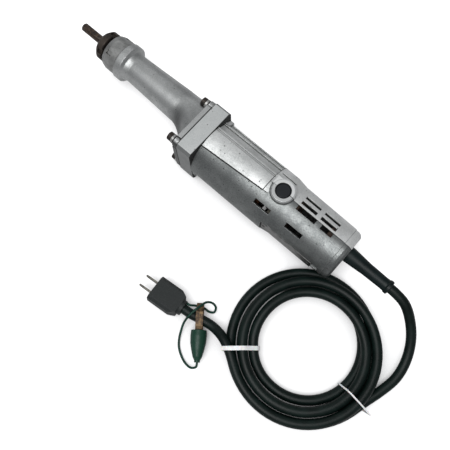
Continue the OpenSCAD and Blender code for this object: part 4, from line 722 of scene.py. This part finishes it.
# Lathe marks: rings a fraction of a millimetre apart along X, broken by stains.
tree, given, result = start_group("turned_skin", [("Ring Scale", 900.0), ("Stain Scale", 120.0)],
                                  [("Rings", "Float"), ("Stain", "Float")])
place = add(tree, "TexCoord").outputs["Object"]
squeezed = add(tree, "Mapping", {"Vector": place, "Scale": (1.0, 0.06, 0.06)}).outputs[0]
rings = add(tree, "TexNoise", {"Vector": squeezed, "Scale": given["Ring Scale"], "Detail": 2.0})
stain = add(tree, "TexNoise", {"Vector": place, "Scale": given["Stain Scale"], "Detail": 5.0,
                               "Roughness": 0.65})
tree.links.new(rings.outputs[0], result.inputs["Rings"])
tree.links.new(step_between(tree, stain.outputs[0], 0.4, 0.64), result.inputs["Stain"])
turned_skin = tree


def turned_material(name, bright, stained, rough, metallic=0.9, lines=(), wear=0.7,
                    worn=(0.62, 0.6, 0.57)):
    """Turned metal: bright with stained clouds, fine rings, worn edges and painted shade in
    corners.
    """
    material = bpy.data.materials.new(name)
    material.use_nodes = True
    tree = material.node_tree
    bsdf = tree.nodes["Principled BSDF"]
    skin = add(tree, "Group", node_tree=turned_skin)
    edge = add(tree, "Group", {"Width": 0.0004}, node_tree=rubbed_edges)
    # Painted shade in corners; dark joint lines are added to the same mask.
    dirt_and_shade = add(tree, "Group", {"Reach": 0.002, "Amount": 0.9}, node_tree=painted_corner_shade).outputs[0]
    for line in lines:
        dirt_and_shade = calc(tree, "MAXIMUM", dirt_and_shade, line_mask(tree, *line))
    body = blend_two(tree, skin.outputs["Stain"], bright, stained)
    body = blend_two(tree, calc(tree, "MULTIPLY", edge.outputs["Wear"], wear), body, worn)
    tree.links.new(blend_two(tree, dirt_and_shade, body, (0.012, 0.011, 0.010)), bsdf.inputs["Base Color"])
    clean_unshaded = calc(tree, "SUBTRACT", 1.0, calc(tree, "MULTIPLY", dirt_and_shade, 0.8))
    tree.links.new(calc(tree, "MULTIPLY", metallic, clean_unshaded), bsdf.inputs["Metallic"])
    tree.links.new(calc(tree, "MULTIPLY_ADD", skin.outputs["Stain"], 0.15,
                        calc(tree, "MULTIPLY_ADD", skin.outputs["Rings"], 0.1, rough - 0.05)),
                   bsdf.inputs["Roughness"])
    relief = add(tree, "Bump", {"Height": skin.outputs["Rings"], "Normal": edge.outputs["Normal"],
                                "Strength": 0.3, "Distance": 0.00006})
    tree.links.new(relief.outputs[0], bsdf.inputs["Normal"])
    return material


dress(turned_material("cap_aluminium", (0.34, 0.345, 0.34), (0.22, 0.222, 0.218), 0.42, 0.8,
                      [((1, 0, 0), 0.1405, 0.0006)]), "nose_cap")
dress(turned_material("nut_steel", (0.055, 0.044, 0.036), (0.025, 0.021, 0.019), 0.5, 0.6,
                      wear=0.35, worn=(0.2, 0.17, 0.14)), "collet_nut")
dress(turned_material("spindle_steel", (0.05, 0.048, 0.046), (0.02, 0.019, 0.018), 0.45, 0.8,
                      wear=0.3), "spindle")
dress(turned_material("collet_steel", (0.55, 0.54, 0.52), (0.36, 0.34, 0.31), 0.34), "collet")
dress(turned_material("washer_steel", (0.5, 0.5, 0.49), (0.3, 0.3, 0.29), 0.36, 0.9,
                      [((1, 0, 0), 0.0166, 0.0016)]), "screw_washers")
dress(turned_material("black_screw_steel", (0.045, 0.036, 0.030), (0.022, 0.019, 0.017), 0.45, 0.6,
                      wear=0.4, worn=(0.22, 0.19, 0.16)), "flange_screws", "plate_screws",
      "casing_screws")
dress(turned_material("zinc_screw_steel", (0.42, 0.42, 0.4), (0.26, 0.26, 0.25), 0.38),
      "clamp_screws", "gear_spacer")
dress(turned_material("ground_steel", (0.58, 0.585, 0.59), (0.46, 0.46, 0.46), 0.28, 1.0),
      "front_bearing",
      "rear_spindle_bearing", "motor_front_bearing", "motor_rear_bearing", "armature_shaft")
dress(turned_material("gear_steel", (0.3, 0.29, 0.28), (0.2, 0.19, 0.18), 0.4, 0.95),
      "spindle_gear", "pinion")
dress(turned_material("spring_steel", (0.4, 0.4, 0.4), (0.24, 0.24, 0.24), 0.36, 1.0),
      "brush_springs", "switch_spring", "clip_spring")

# ---------------------------------------------------------------------------
# Shank: a plain steel bar in the collet, browned with rust over most of its length
# and rubbed paler in streaks along it.
# ---------------------------------------------------------------------------
rust = bpy.data.materials.new("rusted_shank")
rust.use_nodes = True
tree = rust.node_tree
bsdf = tree.nodes["Principled BSDF"]
place = add(tree, "TexCoord").outputs["Object"]
bloom = add(tree, "TexNoise", {"Vector": place, "Scale": 240.0, "Detail": 6.0,
                               "Roughness": 0.7}).outputs[0]
drawn = add(tree, "Mapping", {"Vector": place, "Scale": (0.12, 1.0, 1.0)}).outputs[0]
streak = add(tree, "TexNoise", {"Vector": drawn, "Scale": 700.0, "Detail": 4.0}).outputs[0]
body = blend_two(tree, step_between(tree, bloom, 0.36, 0.62), (0.085, 0.055, 0.038),
                 (0.026, 0.02, 0.017))
body = blend_two(tree, calc(tree, "MULTIPLY", step_between(tree, streak, 0.54, 0.68), 0.45), body,
                 (0.17, 0.15, 0.13))
tree.links.new(body, bsdf.inputs["Base Color"])
tree.links.new(calc(tree, "MULTIPLY_ADD", bloom, 0.3, 0.32), bsdf.inputs["Roughness"])
tree.links.new(add(tree, "Bump", {"Height": bloom, "Strength": 0.5, "Distance": 0.0001}).outputs[0],
               bsdf.inputs["Normal"])
bsdf.inputs["Metallic"].default_value = 0.55
dress(rust, "mandrel_shank")

# ---------------------------------------------------------------------------
# Nameplate: a blank strip of rolled aluminium held by two rivets on the shell's flat,
# scratched along its length.
# ---------------------------------------------------------------------------
plate_metal = bpy.data.materials.new("blank_plate")
plate_metal.use_nodes = True
tree = plate_metal.node_tree
bsdf = tree.nodes["Principled BSDF"]
place = add(tree, "TexCoord").outputs["Object"]
rolled = add(tree, "Mapping", {"Vector": place, "Scale": (0.05, 1.0, 1.0)}).outputs[0]
scratch = add(tree, "TexNoise", {"Vector": rolled, "Scale": 1500.0, "Detail": 3.0}).outputs[0]
stain = add(tree, "TexNoise", {"Vector": place, "Scale": 130.0, "Detail": 5.0}).outputs[0]
tree.links.new(blend_two(tree, step_between(tree, stain, 0.38, 0.66), (0.16, 0.16, 0.158),
                         (0.08, 0.08, 0.078)), bsdf.inputs["Base Color"])
tree.links.new(calc(tree, "MULTIPLY_ADD", scratch, 0.2, 0.28), bsdf.inputs["Roughness"])
tree.links.new(add(tree, "Bump", {"Height": scratch, "Strength": 0.3,
                                  "Distance": 0.00004}).outputs[0], bsdf.inputs["Normal"])
bsdf.inputs["Metallic"].default_value = 0.85
dress(plate_metal, "nameplate", "nameplate_rivets")


# ---------------------------------------------------------------------------
# Moulded parts: push button, switch and guard clamp in phenolic and nylon, the plug
# in rubber, and the clip's boot in soft green vinyl.
# ---------------------------------------------------------------------------
def moulded_material(name, deep, worn, rough, speck=2400.0, depth=0.00008):
    """Moulded plastic: an even colour with dusty specks, rubbed paler on its edges."""
    material = bpy.data.materials.new(name)
    material.use_nodes = True
    tree = material.node_tree
    bsdf = tree.nodes["Principled BSDF"]
    skin = add(tree, "Group", {"Cloud Scale": 110.0, "Grain Scale": speck}, node_tree=rubber_skin)
    edge = add(tree, "Group", {"Width": edge_w}, node_tree=rubbed_edges)
    dust = calc(tree, "MAXIMUM", calc(tree, "MULTIPLY", edge.outputs["Wear"], 0.55),
                calc(tree, "MULTIPLY", step_between(tree, skin.outputs["Grain"], 0.5, 0.75), 0.35))
    tree.links.new(blend_two(tree, dust, deep, worn), bsdf.inputs["Base Color"])
    tree.links.new(calc(tree, "MULTIPLY_ADD", skin.outputs["Patch"], 0.25, rough - 0.12),
                   bsdf.inputs["Roughness"])
    relief = add(tree, "Bump", {"Height": skin.outputs["Grain"], "Normal": edge.outputs["Normal"],
                                "Strength": 0.5, "Distance": depth})
    tree.links.new(relief.outputs[0], bsdf.inputs["Normal"])
    bsdf.inputs["Specular IOR Level"].default_value = 0.3
    return material


dress(moulded_material("button_phenolic", (0.006, 0.0075, 0.010), (0.03, 0.034, 0.04), 0.42),
      "switch_button")
dress(moulded_material("switch_phenolic", (0.012, 0.012, 0.013), (0.04, 0.04, 0.042), 0.45),
      "switch_body", "fan", "inner_leads")
dress(moulded_material("brown_phenolic", (0.04, 0.024, 0.016), (0.1, 0.07, 0.05), 0.42),
      "brush_bracket", "cord_clamp")
dress(moulded_material("plug_rubber", (0.015, 0.018, 0.018), (0.055, 0.062, 0.062), 0.55, 1300.0,
                       0.00016), "plug_body")
dress(moulded_material("boot_vinyl", (0.007, 0.036, 0.022), (0.03, 0.085, 0.06), 0.42), "clip_boot")
dress(moulded_material("seal_felt", (0.1, 0.09, 0.075), (0.2, 0.18, 0.15), 0.9, 1800.0, 0.0003),
      "dust_seal")
dress(moulded_material("carbon_block", (0.02, 0.02, 0.021), (0.06, 0.06, 0.06), 0.5),
      "carbon_brushes")


# ---------------------------------------------------------------------------
# Brass and copper: plug blades and brush holders in dull brass, the clip's jaws in
# browned plated steel, the windings and commutator in copper.
# ---------------------------------------------------------------------------
def tarnished_material(name, bright, dull, rough, metallic=0.9):
    """Tarnished metal: bright patches left between dull brown clouds, with worn edges."""
    material = bpy.data.materials.new(name)
    material.use_nodes = True
    tree = material.node_tree
    bsdf = tree.nodes["Principled BSDF"]
    place = add(tree, "TexCoord").outputs["Object"]
    cloud = add(tree, "TexNoise", {"Vector": place, "Scale": 260.0, "Detail": 6.0,
                                   "Roughness": 0.7}).outputs[0]
    edge = add(tree, "Group", {"Width": 0.0003}, node_tree=rubbed_edges)
    share = calc(tree, "SUBTRACT", step_between(tree, cloud, 0.36, 0.6),
                 calc(tree, "MULTIPLY", edge.outputs["Wear"], 0.5))
    tree.links.new(blend_two(tree, share, bright, dull), bsdf.inputs["Base Color"])
    tree.links.new(calc(tree, "MULTIPLY_ADD", cloud, 0.3, rough - 0.12), bsdf.inputs["Roughness"])
    relief = add(tree, "Bump", {"Height": cloud, "Normal": edge.outputs["Normal"], "Strength": 0.35,
                                "Distance": 0.00006})
    tree.links.new(relief.outputs[0], bsdf.inputs["Normal"])
    bsdf.inputs["Metallic"].default_value = metallic
    return material


dress(tarnished_material("blade_brass", (0.25, 0.24, 0.205), (0.11, 0.104, 0.09), 0.45),
      "plug_blades", "brush_holders")
dress(tarnished_material("jaw_steel", (0.17, 0.11, 0.055), (0.05, 0.032, 0.02), 0.5, 0.6),
      "clip_lower_jaw", "clip_upper_jaw", "clip_pin")
dress(tarnished_material("copper_wire", (0.10, 0.045, 0.022), (0.04, 0.018, 0.010), 0.45),
      "armature_windings", "field_coils", "commutator")
dress(tarnished_material("core_iron", (0.03, 0.03, 0.03), (0.014, 0.013, 0.012), 0.55, 0.6),
      "armature_core", "field_core")

bare = [name for name, item in nodes.items() if not item.data.materials
        or not all(m and m.node_tree and len(m.node_tree.nodes) > 3 for m in item.data.materials)]
if bare:
    print("nodes without a finish:", bare)
